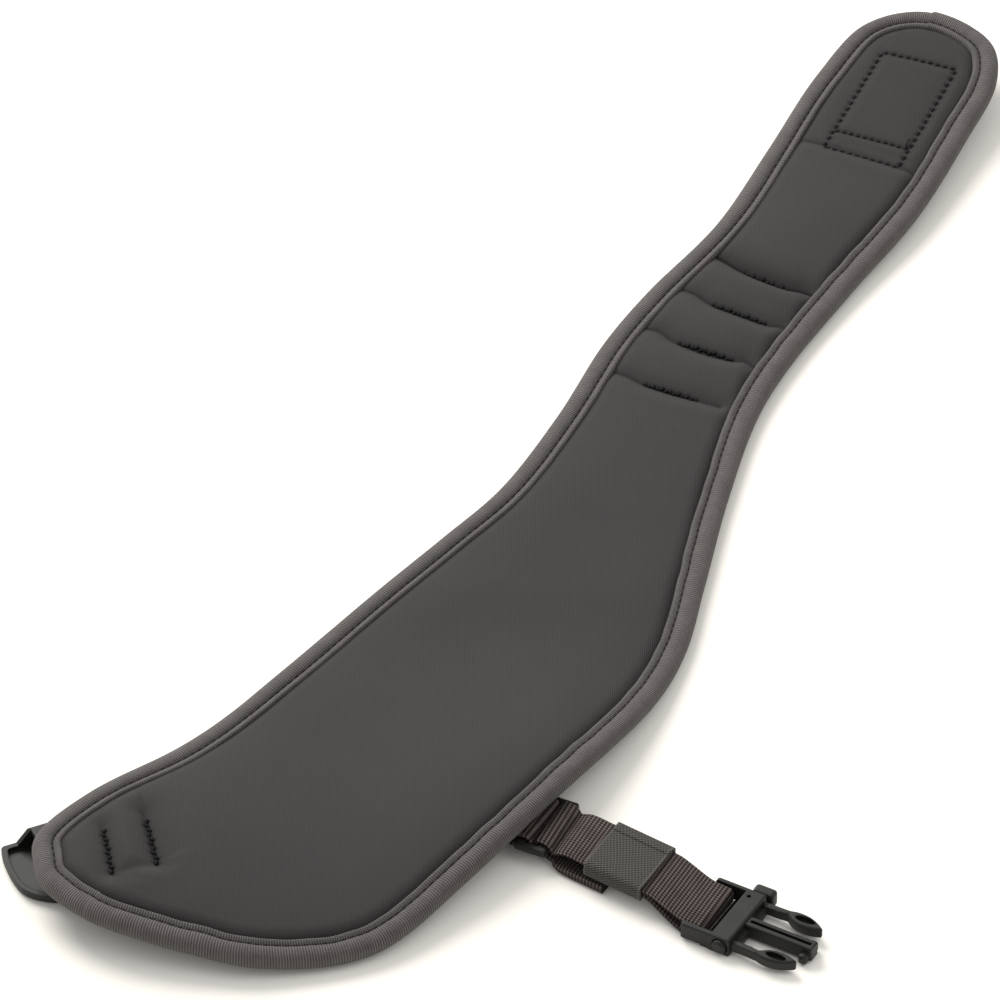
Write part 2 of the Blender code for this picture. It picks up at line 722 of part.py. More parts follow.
def make_anchor(material):
    """Webbing tab that carries the slider, sewn flat to the pad's underside."""
    rows = anchor_course()
    below = SEWN_GAP + WEBBING_THICKNESS / 2
    bar = SLIDER_LENGTH - SLIDER_BAR
    for along in (bar + share * ANCHOR_LENGTH for share in (0.26, 0.50, 0.75, 1.0)):
        turn_x = STRAP_X - along * math.sin(SLIDER_TURN)
        turn_y = STRAP_Y + along * math.cos(SLIDER_TURN)
        rows.append((along, float(lift(turn_x, turn_y)) - below))
    path = curve_through(rows, 3)
    rings = []
    across = Vector((math.cos(SLIDER_TURN), math.sin(SLIDER_TURN), 0.0))
    ahead = Vector((-math.sin(SLIDER_TURN), math.cos(SLIDER_TURN), 0.0))
    for i, (along, height) in enumerate(path):
        before, after = path[max(i - 1, 0)], path[min(i + 1, len(path) - 1)]
        heading = ahead * (after[0] - before[0]) + Vector((0.0, 0.0, after[1] - before[1]))
        centre = Vector((STRAP_X, STRAP_Y, height)) + ahead * along
        rings.append(webbing_ring(centre, across, heading.normalized(), WEBBING_WIDTH,
                                  WEBBING_THICKNESS))
    vertices, faces = tube(rings)
    return mesh_object("anchor_webbing", vertices, faces, material, 50)


def prong_outline(side):
    """Plan of one springy arm and its leaf-shaped head."""
    half = BUCKLE_WIDTH / 2
    base = BUCKLE_LENGTH - CLEARANCE
    arm_out = 0.90 * half
    rows = [(along * PRONG_REACH, out * half, inside * half) for along, out, inside in PRONG_HEAD]
    outer = curve_through([(base, arm_out)] + [(BUCKLE_LENGTH + a, o) for a, o, i in rows], 2)
    inner = curve_through([(base, arm_out - ARM_WIDTH),
                           (BUCKLE_LENGTH + 0.7 * rows[0][0], arm_out - ARM_WIDTH)]
                          + [(BUCKLE_LENGTH + a, i) for a, o, i in rows], 2)
    outline = [(side * across, along) for along, across in outer]
    outline += [(side * across, along) for along, across in inner[::-1]]
    return outline


def round_bar(name, radius, start, end, line, middle, material=None):
    """A round bar along the buckle's width."""
    rings = []
    for across in (start, end):
        ring = []
        for step in range(14):
            angle = 2 * math.pi * step / 14
            ring.append((across, line + radius * math.cos(angle), middle + radius * math.sin(angle)))
        rings.append(ring)
    vertices, faces = tube(rings)
    return mesh_object(name, vertices, faces, material, 40)


def disc(centre, reach, along_reach):
    """Plan of an oval."""
    points = []
    for step in range(12):
        angle = 2 * math.pi * step / 12
        points.append((centre[0] + reach * math.cos(angle), centre[1] + along_reach * math.sin(angle)))
    return points


def make_buckle(material):
    """Quick-release half: frame with a webbing bar, nose, two sprung prongs and a middle guide."""
    half = BUCKLE_WIDTH / 2
    nose = BUCKLE_LENGTH - BUCKLE_NOSE
    over = BUCKLE_HEIGHT
    middle = BUCKLE_HEIGHT / 2
    inside = half - BUCKLE_RAIL
    target = block("prong_buckle", (-half, 0.0, 0.0), (half, BUCKLE_LENGTH, BUCKLE_HEIGHT), material)
    bevel_edges(target, PLASTIC_ROUND, segments=2)

    def cut(tool):
        tools.append(combine(target, tool, "DIFFERENCE"))

    def join(tool):
        tools.append(combine(target, tool, "UNION"))

    tools = []
    cut(block("buckle_slot", (-inside, -over, -over), (inside, nose, BUCKLE_HEIGHT + over)))
    cut(block("rail_relief", (-half - over, -over, -over),
              (half + over, nose - PLASTIC_ROUND, RAIL_RELIEF)))
    join(block("nose_web", (-half + PLASTIC_ROUND, nose - NOSE_WEB, 0.0),
               (half - PLASTIC_ROUND, nose + PLASTIC_ROUND, NOSE_WEB_HEIGHT)))
    bar_low = bar_middle_height() - BUCKLE_BAR_HEIGHT / 2
    bar_start = BUCKLE_BAR_SETBACK - BUCKLE_BAR / 2
    bar = block("buckle_bar", (-half + CLEARANCE, bar_start, bar_low),
                (half - CLEARANCE, bar_start + BUCKLE_BAR, bar_low + BUCKLE_BAR_HEIGHT))
    bevel_edges(bar, BUCKLE_BAR_HEIGHT / 4)
    join(bar)
    step_half = 0.78 * half
    step_block = block("nose_step", (-step_half, BUCKLE_LENGTH - CLEARANCE, 0.16 * BUCKLE_HEIGHT),
                       (step_half, BUCKLE_LENGTH + NOSE_STEP, 0.62 * BUCKLE_HEIGHT))
    bevel_edges(step_block, PLASTIC_ROUND / 2)
    join(step_block)

    shaft = (LOCK_SHAFT_LENGTH / 2 + CLEARANCE, LOCK_SHAFT_HEIGHT / 2 + CLEARANCE)
    line = nose + BUCKLE_NOSE / 2
    cut(block("lock_channel", (-half - over, line - shaft[0], middle - shaft[1]),
              (half + over, line + shaft[0], middle + shaft[1])))
    depth = LOCK_BUTTON_DEPTH + LOCK_TRAVEL + CLEARANCE
    cut(round_bar("lock_pocket", LOCK_BUTTON_SIZE / 2 + CLEARANCE, half - depth, half + over,
                  line, middle))

    for side, name in ((-1, "far_prong"), (1, "near_prong")):
        low = middle - HEAD_HEIGHT / 2
        prong = prism(name, prong_outline(side), low, low + HEAD_HEIGHT)
        bevel_edges(prong, 0.16 * HEAD_HEIGHT, angle=70)
        join(prong)
        centre = (side * 0.765 * half, BUCKLE_LENGTH + 0.70 * PRONG_REACH)
        cut(prism(name + "_hollow", disc(centre, 0.11 * half, 0.17 * PRONG_REACH),
                  low + 0.55 * HEAD_HEIGHT, low + 1.5 * HEAD_HEIGHT))
        outer, inner = side * 1.2 * half, side * 0.62 * half
        for part, start, end in (("_trim_low", -over, middle - ARM_HEIGHT / 2),
                                 ("_trim_top", middle + ARM_HEIGHT / 2, 2 * over)):
            cut(block(name + part, (min(outer, inner), BUCKLE_LENGTH + ARM_WIDTH / 2, start),
                      (max(outer, inner), BUCKLE_LENGTH + 0.38 * PRONG_REACH, end)))

    wide = GUIDE_WIDTH / 2
    tip = BUCKLE_LENGTH + GUIDE_REACH
    low = middle - GUIDE_HEIGHT / 2
    guide = block("guide", (-wide, BUCKLE_LENGTH - CLEARANCE, low), (wide, tip, low + GUIDE_HEIGHT))
    bevel_edges(guide, PLASTIC_ROUND / 2)
    join(guide)
    foot = GUIDE_FOOT_WIDTH / 2
    foot_block = block("guide_foot", (-foot, tip - 0.16 * GUIDE_REACH, low - 0.08 * GUIDE_HEIGHT),
                       (foot, tip - 0.03 * GUIDE_REACH, low + 0.62 * GUIDE_HEIGHT))
    bevel_edges(foot_block, 0.25 * GUIDE_WIDTH, segments=2)
    join(foot_block)
    groove = GUIDE_GROOVE / 2
    cut(block("guide_groove", (-groove, BUCKLE_LENGTH + 0.04 * GUIDE_REACH, middle),
              (groove, tip - 0.05 * GUIDE_REACH, BUCKLE_HEIGHT + over)))
    cut(prism("pin_hole", disc((-0.72 * half, nose + 0.3 * BUCKLE_NOSE), PIN_HOLE / 2, PIN_HOLE / 2),
              middle, BUCKLE_HEIGHT + over))
    return finish_plastic(target, buckle_frame(), tools)


def make_lock(material):
    """Sliding lock: block on the far side, shaft through the nose, push button on the near side."""
    half = BUCKLE_WIDTH / 2
    line = BUCKLE_LENGTH - BUCKLE_NOSE / 2
    middle = BUCKLE_HEIGHT / 2
    head = (LOCK_HEAD_LENGTH / 2, LOCK_HEAD_HEIGHT / 2)
    ahead = line + LOCK_HEAD_SHIFT
    target = block("lock_slide", (-half - LOCK_HEAD_PROUD, ahead - head[0], middle - head[1]),
                   (-half - CLEARANCE, ahead + head[0], middle + head[1]), material)
    bevel_edges(target, 1.5 * PLASTIC_ROUND, segments=2)
    shaft = (LOCK_SHAFT_LENGTH / 2, LOCK_SHAFT_HEIGHT / 2)
    reach = half - LOCK_BUTTON_DEPTH + CLEARANCE
    tools = [combine(target, block("lock_shaft", (-half - LOCK_HEAD_PROUD / 2, line - shaft[0],
                                                  middle - shaft[1]),
                                   (reach, line + shaft[0], middle + shaft[1])), "UNION")]
    button = round_bar("lock_button", LOCK_BUTTON_SIZE / 2, half - LOCK_BUTTON_DEPTH,
                       half + LOCK_BUTTON_PROUD, line, middle)
    bevel_edges(button, PLASTIC_ROUND, angle=60)
    tools.append(combine(target, button, "UNION"))
    return finish_plastic(target, buckle_frame(), tools)


def socket_frame():
    """Where the socket half lies: the foremost point of its lip, with +Y into its mouth."""
    place = Matrix.Translation(Vector((SOCKET_X, SOCKET_Y, 0.0)))
    return place @ Matrix.Rotation(SOCKET_TURN + math.pi / 2, 4, "Z")


def side_prism(name, outline, start, end):
    """A side outline of distances along and heights, drawn out across the socket's width."""
    rings = [[(across, along, height) for along, height in outline] for across in (start, end)]
    vertices, faces = tube(rings)
    return mesh_object(name, vertices, faces, None, 40)


def make_socket(material):
    """Socket half: a flat box with an open mouth over a longer lip, side windows and a rear bar."""
    half = SOCKET_WIDTH / 2
    lip = [(-across * SOCKET_WIDTH, setback * SOCKET_LENGTH) for across, setback in SOCKET_LIP]
    front = [tuple(p) for p in curve_through(lip, 2)]
    rear_corner = 0.10 * SOCKET_WIDTH
    outline = front + [(half, SOCKET_LENGTH - rear_corner), (half - rear_corner, SOCKET_LENGTH),
                       (rear_corner - half, SOCKET_LENGTH), (-half, SOCKET_LENGTH - rear_corner)]
    target = prism("buckle_socket", outline, 0.0, SOCKET_HEIGHT, material)
    bevel_edges(target, PLASTIC_ROUND, angle=60)
    over = SOCKET_HEIGHT
    mouth = SOCKET_MOUTH / 2
    wide = half + over
    bar_start = SOCKET_LENGTH - SOCKET_BAR
    slot_start = bar_start - SOCKET_SLOT
    slot = WEBBING_WIDTH / 2 + 2 * CLEARANCE
    slope = [(-over, SOCKET_RIM), (0.60 * SOCKET_LIP_SETBACK, SOCKET_RIM),
             (SOCKET_LIP_SETBACK, SOCKET_HEIGHT), (SOCKET_LIP_SETBACK, 2 * over), (-over, 2 * over)]
    low_face = SOCKET_HEIGHT / 2 - SOCKET_BAR / 2
    high_face = SOCKET_HEIGHT / 2 + SOCKET_BAR / 2
    window = 0.9 * SOCKET_WALL
    tray = [(across * SOCKET_MOUTH / SOCKET_WIDTH, min(along + SOCKET_WALL, SOCKET_LIP_SETBACK - CLEARANCE))
            for across, along in front]
    tray += [(mouth, SOCKET_LIP_SETBACK), (-mouth, SOCKET_LIP_SETBACK)]
    cuts = [
        block("socket_mouth", (-mouth, SOCKET_LIP_SETBACK - CLEARANCE, SOCKET_WALL),
              (mouth, slot_start - SOCKET_WEB, SOCKET_HEIGHT - SOCKET_WALL)),
        prism("socket_tray", tray, SOCKET_WALL, 2 * over),
        side_prism("socket_lip_slope", slope, -wide, wide),
        block("socket_lip_cut", (-mouth, -over, SOCKET_RIM), (mouth, SOCKET_LIP_SETBACK, 2 * over)),
        block("socket_windows", (-wide, 0.48 * SOCKET_LENGTH, window),
              (wide, 0.66 * SOCKET_LENGTH, SOCKET_HEIGHT - window)),
        block("socket_slot", (-slot, slot_start, -over), (slot, bar_start, 2 * over)),
        block("socket_bar_low", (-slot, bar_start - CLEARANCE, -over),
              (slot, SOCKET_LENGTH + over, low_face)),
        block("socket_bar_top", (-slot, bar_start - CLEARANCE, high_face),
              (slot, SOCKET_LENGTH + over, 2 * over)),
    ]
    tools = [combine(target, tool, "DIFFERENCE") for tool in cuts]
    return finish_plastic(target, socket_frame(), tools)


def make_socket_tab(material):
    """Webbing tab looped round the socket's bar and sewn flat to the pad's underside."""
    bar = SOCKET_LENGTH - SOCKET_BAR / 2
    turn = loop_round(SOCKET_BAR, SOCKET_BAR)
    rows = [(bar - out, SOCKET_HEIGHT / 2 + up) for out, up in turn]
    frame = socket_frame()
    below = SEWN_GAP + WEBBING_THICKNESS / 2
    for share in (0.16, 0.40, 0.65, 0.85, 1.0):
        along = SOCKET_LENGTH + share * SOCKET_TAB_LENGTH
        place = frame @ Vector((0.0, along, 0.0))
        rows.append((along, float(lift(place.x, place.y)) - below))
    path = curve_through(rows, 3)
    ahead = (frame.to_3x3() @ Vector((0.0, 1.0, 0.0))).normalized()
    across = (frame.to_3x3() @ Vector((1.0, 0.0, 0.0))).normalized()
    rings = []
    for i, (along, height) in enumerate(path):
        before, after = path[max(i - 1, 0)], path[min(i + 1, len(path) - 1)]
        heading = ahead * (after[0] - before[0]) + Vector((0.0, 0.0, after[1] - before[1]))
        centre = frame @ Vector((0.0, along, height))
        rings.append(webbing_ring(centre, across, heading.normalized(), WEBBING_WIDTH,
                                  WEBBING_THICKNESS))
    vertices, faces = tube(rings)
    return mesh_object("socket_webbing", vertices, faces, material, 50)


def corners_of(parts):
    """Lowest and highest corners of the visible pieces."""
    bpy.context.view_layer.update()
    graph = bpy.context.evaluated_depsgraph_get()
    points = []
    for part in parts:
        if part.hide_render:
            continue
        evaluated = part.evaluated_get(graph)
        mesh = evaluated.to_mesh()
        points += [part.matrix_world @ v.co for v in mesh.vertices]
        evaluated.to_mesh_clear()
    low = Vector(min(p[k] for p in points) for k in range(3))
    high = Vector(max(p[k] for p in points) for k in range(3))
    return low, high


def main():
    clear_scene()
    knit = make_material("neoprene", (0.075, 0.073, 0.070), 0.85)
    tape = make_material("binding tape", (0.115, 0.107, 0.106), 0.80)
    webbing = make_material("webbing", (0.085, 0.072, 0.068), 0.85)
    elastic = make_material("elastic", (0.120, 0.112, 0.108), 0.85)
    plastic = make_material("dark plastic", (0.045, 0.045, 0.042), 0.45)
    parts = [
        make_pad(knit),
        make_binding(tape),
        make_strap(webbing),
        make_anchor(webbing),
        make_socket_tab(webbing),
        make_keeper(elastic),
    ]
    for group in (make_slider(plastic), make_buckle(plastic), make_lock(plastic), make_socket(plastic)):
        parts += group
    low, high = corners_of(parts)
    home = bpy.data.objects.new("strap_origin", None)
    bpy.context.collection.objects.link(home)
    for part in parts:
        part.parent = home
    home.location = (-(low.x + high.x) / 2, -(low.y + high.y) / 2, -low.z)
    bpy.context.view_layer.update()


main()
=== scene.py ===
"""Dressed scene of the camera neck strap: knit pad, ribbed edge tape, webbing and moulded plastic."""
import math

import bpy
import numpy as np
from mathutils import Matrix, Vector


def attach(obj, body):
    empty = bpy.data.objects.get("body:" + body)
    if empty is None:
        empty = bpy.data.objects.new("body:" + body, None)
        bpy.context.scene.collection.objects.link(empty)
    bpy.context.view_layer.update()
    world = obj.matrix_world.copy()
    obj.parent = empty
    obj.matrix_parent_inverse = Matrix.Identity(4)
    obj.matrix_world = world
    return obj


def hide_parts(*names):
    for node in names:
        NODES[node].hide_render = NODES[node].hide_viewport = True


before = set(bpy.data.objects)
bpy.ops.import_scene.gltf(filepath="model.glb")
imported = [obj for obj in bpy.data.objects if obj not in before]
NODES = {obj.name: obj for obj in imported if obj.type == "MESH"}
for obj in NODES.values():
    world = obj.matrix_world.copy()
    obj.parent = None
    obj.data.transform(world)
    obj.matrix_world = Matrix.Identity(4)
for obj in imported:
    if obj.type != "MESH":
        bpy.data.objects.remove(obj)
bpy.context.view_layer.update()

ROOT = "strap"

# Colours as linear red, green and blue
KNIT_WARM = (0.0490, 0.0458, 0.0455)
KNIT_COOL = (0.0460, 0.0448, 0.0445)
TAPE_LIGHT = (0.152, 0.139, 0.136)
WEBBING_LIGHT = (0.136, 0.108, 0.099)
WEBBING_DARK = (0.008, 0.0055, 0.0050)
ELASTIC_LIGHT = (0.098, 0.092, 0.083)
PLASTIC_DARK = (0.0125, 0.0127, 0.0115)

# Where the pad's own corner, the wide tip at x = 0, lies in this scene
HOME = np.array([-0.257998, 0.100382, 0.000043])

# Camera: its height and distance are chosen between two cues, and the turn follows the side strap
CAMERA_TARGET = np.array([0.219525 + 0.0214, -0.017687, 0.0])
CAMERA_DISTANCE = 3.0
CAMERA_AZIMUTH = math.radians(-55)
CAMERA_ELEVATION = math.radians(40)
CAMERA_LENS = 342.92
SENSOR = 36.0

# Lamps, seen from the camera: metres to the right, beyond and up, disk size, watts
LAMPS = (
    # name, right, beyond, up, size, power
    ("key", -0.75, 1.05, 1.30, 1.30, 46.0),
    ("fill", 0.9, -0.5, 1.5, 1.2, 5.0),
)
FLOOR_REACH = 3.0
FLOOR_DROP = 0.00005
FLOOR_GLOW = 0.36
# Reach of the painted contact shadow that dims the floor's glow near the object
FLOOR_SHADOW_REACH = 0.05

# Pad and its bound edge, as in the solids
PAD_LENGTH = 0.516
PAD_WIDTH = 0.100
PAD_THICKNESS = 0.008
PAD_EDGE_THICKNESS = 0.003
PAD_EDGE_HEIGHT = 0.0034
PAD_INSET = 0.0020
CROWN_RUN = 0.020
CROWN_START = 0.0062
EDGE_ROLL = 0.55
EDGE_ROLL_RUN = 0.0042
UNDERSIDE_RISE = 0.0019
BINDING_RADIUS = 0.0029
BINDING_COVER = 0.0085
BINDING_SEAM = 0.0061
BINDING_STEP = 0.0010
PAD_STEP = 0.0017
SEWN_STEP = 0.0011
SEWN_RANGES = ((0.015, 0.100), (0.580, 0.745), (0.840, 0.965))

SOCKET_LIFT = 0.0105
SIDE_LIFT = 0.0092
NARROW_LIFT = 0.011
SOCKET_LIFT_X = 0.0407 * PAD_LENGTH
SOCKET_LIFT_Y = -0.22 * PAD_WIDTH
STRAP_X = 0.230 * PAD_LENGTH
STRAP_Y = -1.190 * PAD_WIDTH - 0.0055
SIDE_LIFT_INSET = 0.006
LIFT_REACH = 0.095
NARROW_LIFT_START = 0.70

# Outline of the bound pad: distance along as a share of PAD_LENGTH, edges as shares of PAD_WIDTH
SECTIONS = (
    # along, far edge, near edge
    (0.006, -0.168, -0.520),
    (0.018, -0.094, -0.690),
    (0.035, -0.032, -0.865),
    (0.085, -0.036, -1.100),
    (0.155, -0.098, -1.175),
    (0.252, -0.127, -1.200),
    (0.349, -0.148, -1.165),
    (0.407, -0.166, -1.092),
    (0.465, -0.178, -0.962),
    (0.543, -0.120, -0.782),
    (0.620, -0.031, -0.632),
    (0.678, 0.001, -0.570),
    (0.756, 0.010, -0.533),
    (0.833, 0.077, -0.512),
    (0.911, 0.147, -0.442),
    (0.965, 0.148, -0.378),
    (0.992, 0.040, -0.275),
)
WIDE_TIP = (0.0, -0.350)
NARROW_TIP = (1.0, -0.110)

# Creases that the stitches pull into the pad's face: depth and half-width in metres, how dark the
# painted shade along the line is, and its course as shares of PAD_LENGTH and PAD_WIDTH
CREASES = (
    # depth, half-width, painted shade, (along, across) ...
    (0.0026, 0.0024, 0.40, ((0.0625, -0.180), (0.0465, -0.263), (0.0325, -0.334))),
    (0.0032, 0.0026, 0.50, ((0.0880, -0.235), (0.0700, -0.335), (0.0556, -0.412))),
    (0.0020, 0.0026, 0.10, ((0.0330, -0.334), (0.0440, -0.380), (0.0560, -0.412))),
    (0.0030, 0.0026, 0.55, ((0.5982, -0.120), (0.5997, -0.201), (0.5985, -0.262), (0.6010, -0.369),
                            (0.6046, -0.446), (0.6078, -0.520))),
    (0.0032, 0.0026, 0.55, ((0.6444, -0.085), (0.6474, -0.149), (0.6442, -0.217), (0.6448, -0.330),
                            (0.6498, -0.427), (0.6536, -0.459), (0.6510, -0.520))),
    (0.0032, 0.0026, 0.60, ((0.6890, -0.040), (0.6908, -0.136), (0.6876, -0.210), (0.6887, -0.315),
                            (0.6915, -0.419), (0.6950, -0.453), (0.6933, -0.540))),
    (0.0042, 0.0024, 0.85, ((0.7300, -0.020), (0.7291, -0.121), (0.7275, -0.179), (0.7271, -0.254),
                            (0.7290, -0.362), (0.7317, -0.410), (0.7314, -0.540))),
    (0.0018, 0.0018, 0.50, ((0.8510, 0.060), (0.8517, -0.020), (0.8570, -0.215), (0.8640, -0.470))),
    (0.0008, 0.0012, 0.10, ((0.9461, 0.010), (0.9570, -0.245))),
    (0.0008, 0.0012, 0.10, ((0.8510, -0.083), (0.9461, 0.010))),
    (0.0008, 0.0012, 0.10, ((0.8606, -0.344), (0.9570, -0.245))),
    (0.0009, 0.0012, 0.10, ((0.8682, -0.066), (0.8783, -0.326))),
)
BULGE_SHARE = 0.26
BULGE_AWAY = 2.6
PRESSED_END = 0.0008
END_CREASE = 7
END_RUN = 0.004
WAVE_HEIGHT = 0.00022
WAVE_LENGTH = 0.045

# Wide shallow folds of the soft pad: both ends as above, height of the swell and its half-width
FOLDS = (
    # along 1, across 1, along 2, across 2, height, half-width
    (0.440, -0.930, 0.360, -0.330, 0.00045, 0.012),
    (0.500, -0.800, 0.440, -0.300, -0.00040, 0.014),
    (0.250, -0.300, 0.120, -0.500, 0.00030, 0.020),
    (0.780, -0.200, 0.800, -0.400, 0.00040, 0.012),
)

# Stitch rows on the pad's face: both ends as shares, number of stitches
STITCH_ROWS = (
    # along 1, across 1, along 2, across 2, stitches
    (0.9461, 0.009, 0.9570, -0.245, 10),
    (0.8510, -0.083, 0.9461, 0.009, 16),
    (0.8606, -0.344, 0.9570, -0.245, 16),
    (0.8682, -0.066, 0.8783, -0.326, 11),
    (0.8510, -0.083, 0.8606, -0.344, 10),
)

# Tacks, sewn as knots close together: both ends as shares, number of knots, size of a knot
TACKS = (
    # along 1, across 1, along 2, across 2, knots, size
    (0.0605, -0.192, 0.0325, -0.334, 10, 0.00068),
    (0.0839, -0.259, 0.0556, -0.412, 10, 0.00078),
    (0.5985, -0.258, 0.6046, -0.446, 13, 0.00058),
    (0.6440, -0.230, 0.6498, -0.427, 13, 0.00054),
    (0.6876, -0.208, 0.6915, -0.410, 13, 0.00052),
    (0.7271, -0.190, 0.7290, -0.370, 10, 0.00044),
)
TACK_SWAY = 0.00018
THREAD_RADIUS = 0.00036
THREAD_DEPTH = 0.0004

# Painted shade on the pad's face: round a stitch, under the tape, on the pressed end and in and above a
# crease
HOLE_REACH = 0.0010
HOLE_SHADE = 0.92
EDGE_SHADE = 0.55
EDGE_SHADE_AT = 0.0060
EDGE_SHADE_REACH = 0.0014
END_SHADE = 0.10
CREASE_LINE = 0.42
CREASE_SIDE = 0.40
CREASE_SIDE_REACH = 2.4

# The tape's two ends overlap at this place, as shares of PAD_LENGTH and PAD_WIDTH
TAPE_END = (0.9985, -0.027)
TAPE_OVERLAP = 0.016
TAPE_STEP = 0.0006

# Loose end of thread by the box: shares along and across, height above the face
LOOSE_THREAD = (
    (0.8772, -0.322, -0.0003),
    (0.8792, -0.310, 0.0005),
    (0.8832, -0.305, 0.0007),
    (0.8858, -0.300, 0.0003),
)

# Side strap, as in the solids
CLEARANCE = 0.0003
WEBBING_WIDTH = 0.020
WEBBING_THICKNESS = 0.0014
STRAP_TURN = math.radians(5)
SLIDER_TURN = math.radians(9)
STRAP_RUN = 0.0563
TOP_LAYER_HEIGHT = 0.0073
TAIL_HEIGHT = 0.0024
TAIL_SHIFT = 0.0015
KEEPER_LENGTH = 0.0202
KEEPER_START = 0.0162
KEEPER_WALL = 0.001
SLIDER_LENGTH = 0.0103
SLIDER_THICKNESS = 0.0026
SLIDER_HEIGHT = 0.0056
SLIDER_BAR = 0.0030
ANCHOR_LENGTH = 0.046
ANCHOR_RETURN = 0.007
SEWN_GAP = 0.0005
BUCKLE_BAR = 0.0030
BUCKLE_BAR_HEIGHT = 0.0022
BUCKLE_BAR_SETBACK = 0.0033
BUCKLE_SHIFT = -0.0021
STRAP_COURSE = (
    # along as a share of STRAP_RUN, height of TOP_LAYER_HEIGHT, thickness of WEBBING_THICKNESS
    (0.410, 0.200, 2.05),
    (0.380, 0.200, 2.05),
    (0.170, 0.205, 2.05),
    (0.115, 0.225, 1.50),
    (0.060, 0.330, 1.00),
    (0.000, 0.440, 1.00),
    (-0.034, 0.455, 1.00),
    (-0.052, 0.600, 1.00),
    (-0.052, 0.800, 1.00),
    (-0.040, 1.030, 1.00),
    (0.000, 1.090, 1.00),
    (0.038, 1.010, 1.00),
    (0.063, 0.770, 1.00),
    (0.092, 0.860, 1.00),
    (0.135, 0.990, 1.00),
    (0.280, 1.000, 1.00),
    (0.460, 1.000, 1.00),
    (0.640, 1.000, 1.00),
    (0.760, 0.930, 1.00),
    (0.880, 0.800, 1.00),
)
STRAP_RETURN = (
    # along, height, thickness
    (0.920, 0.160, 1.00),
    (0.840, 0.300, 1.00),
    (0.740, 0.560, 1.00),
    (0.660, 0.767, 1.00),
    (0.500, 0.767, 1.00),
    (0.320, 0.767, 1.00),
)


def curve_through(points, steps, closed=False):
    """A smooth curve through points of any dimension, with steps pieces between neighbours."""
    points = np.asarray(points, dtype=float)
    count = len(points)
    result = []
    for i in range(count if closed else count - 1):
        if closed:
            a, b, c, d = (points[(i + k) % count] for k in (-1, 0, 1, 2))
        else:
            b, c = points[i], points[i + 1]
            a = points[i - 1] if i > 0 else 2 * b - c
            d = points[i + 2] if i + 2 < count else 2 * c - b
        knots = [0.0]
        for p, q in ((a, b), (b, c), (c, d)):
            knots.append(knots[-1] + max(np.linalg.norm(q[:2] - p[:2]), 1e-9) ** 0.5)
        for u in np.linspace(knots[1], knots[2], steps, endpoint=False):
            ab = a + (b - a) * (u - knots[0]) / (knots[1] - knots[0])
            bc = b + (c - b) * (u - knots[1]) / (knots[2] - knots[1])
            cd = c + (d - c) * (u - knots[2]) / (knots[3] - knots[2])
            abc = ab + (bc - ab) * (u - knots[0]) / (knots[2] - knots[0])
            bcd = bc + (cd - bc) * (u - knots[1]) / (knots[3] - knots[1])
            result.append(abc + (bcd - abc) * (u - knots[1]) / (knots[2] - knots[1]))
    if not closed:
        result.append(points[-1])
    return np.array(result)


def inward(loop):
    """Unit vectors across a closed plan curve that runs clockwise, pointing to its inside."""
    ahead = np.roll(loop, -1, axis=0) - np.roll(loop, 1, axis=0)
    ahead /= np.linalg.norm(ahead, axis=1)[:, None]
    return np.stack([ahead[:, 1], -ahead[:, 0]], axis=1)


def outline():
    rows = [WIDE_TIP]
    rows += [(along, far) for along, far, near in SECTIONS]
    rows += [NARROW_TIP]
    rows += [(along, near) for along, far, near in reversed(SECTIONS)]
    return curve_through([(a * PAD_LENGTH, b * PAD_WIDTH) for a, b in rows], 24, closed=True)


def evenly(loop, step):
    """Points spaced evenly on a closed curve, with their distance along it."""
    closed = np.vstack([loop, loop[:1]])
    along = np.concatenate([[0.0], np.cumsum(np.linalg.norm(np.diff(closed, axis=0), axis=1))])
    count = int(along[-1] / step)
    places = np.linspace(0.0, along[-1], count, endpoint=False)
    return np.stack([np.interp(places, along, closed[:, k]) for k in (0, 1)], axis=1), places


def lift(x, y):
    """Height of the pad's underside above the ground."""
    def swell(distance):
        return 0.5 * (1.0 + np.cos(math.pi * np.minimum(distance / LIFT_REACH, 1.0)))
    from_socket = np.hypot(x - SOCKET_LIFT_X, y - SOCKET_LIFT_Y)
    from_slider = np.hypot(x - STRAP_X, y - STRAP_Y - SIDE_LIFT_INSET)
    start = NARROW_LIFT_START * PAD_LENGTH
    rise = np.clip((x - start) / (PAD_LENGTH - start), 0.0, None)
    return SOCKET_LIFT * swell(from_socket) + SIDE_LIFT * swell(from_slider) + NARROW_LIFT * rise ** 1.6


def distance_to(loop, points):
    """Least distance from each point to a closed plan curve."""
    result = np.empty(len(points))
    start = loop[None, :, :]
    span = np.roll(loop, -1, axis=0)[None, :, :] - start
    square = np.sum(span * span, axis=2)
    for i in range(0, len(points), 2000):
        offset = points[i:i + 2000, None, :] - start
        share = np.clip(np.sum(offset * span, axis=2) / square, 0.0, 1.0)
        away = np.sum((offset - share[:, :, None] * span) ** 2, axis=2)
        result[i:i + 2000] = np.sqrt(away.min(axis=1))
    return result


def away_from(x, y, row):
    """Distance of places from the straight line between a row's two ends."""
    first = np.array([row[0] * PAD_LENGTH, row[1] * PAD_WIDTH])
    span = np.array([row[2] * PAD_LENGTH, row[3] * PAD_WIDTH]) - first
    place = np.clip(((x - first[0]) * span[0] + (y - first[1]) * span[1]) / span.dot(span), 0, 1)
    return np.hypot(x - first[0] - place * span[0], y - first[1] - place * span[1])


def ripple(x, y, length, seed):
    """Smooth uneven waves between -1 and 1, the same at every run."""
    total = np.zeros_like(x)
    for k in range(4):
        angle = 2.399 * (k + seed)
        pitch = length * (1.0 + 0.37 * k)
        along = x * math.cos(angle) + y * math.sin(angle)
        total += np.sin(2 * math.pi * along / pitch + 1.7 * seed + k)
    return total / 4


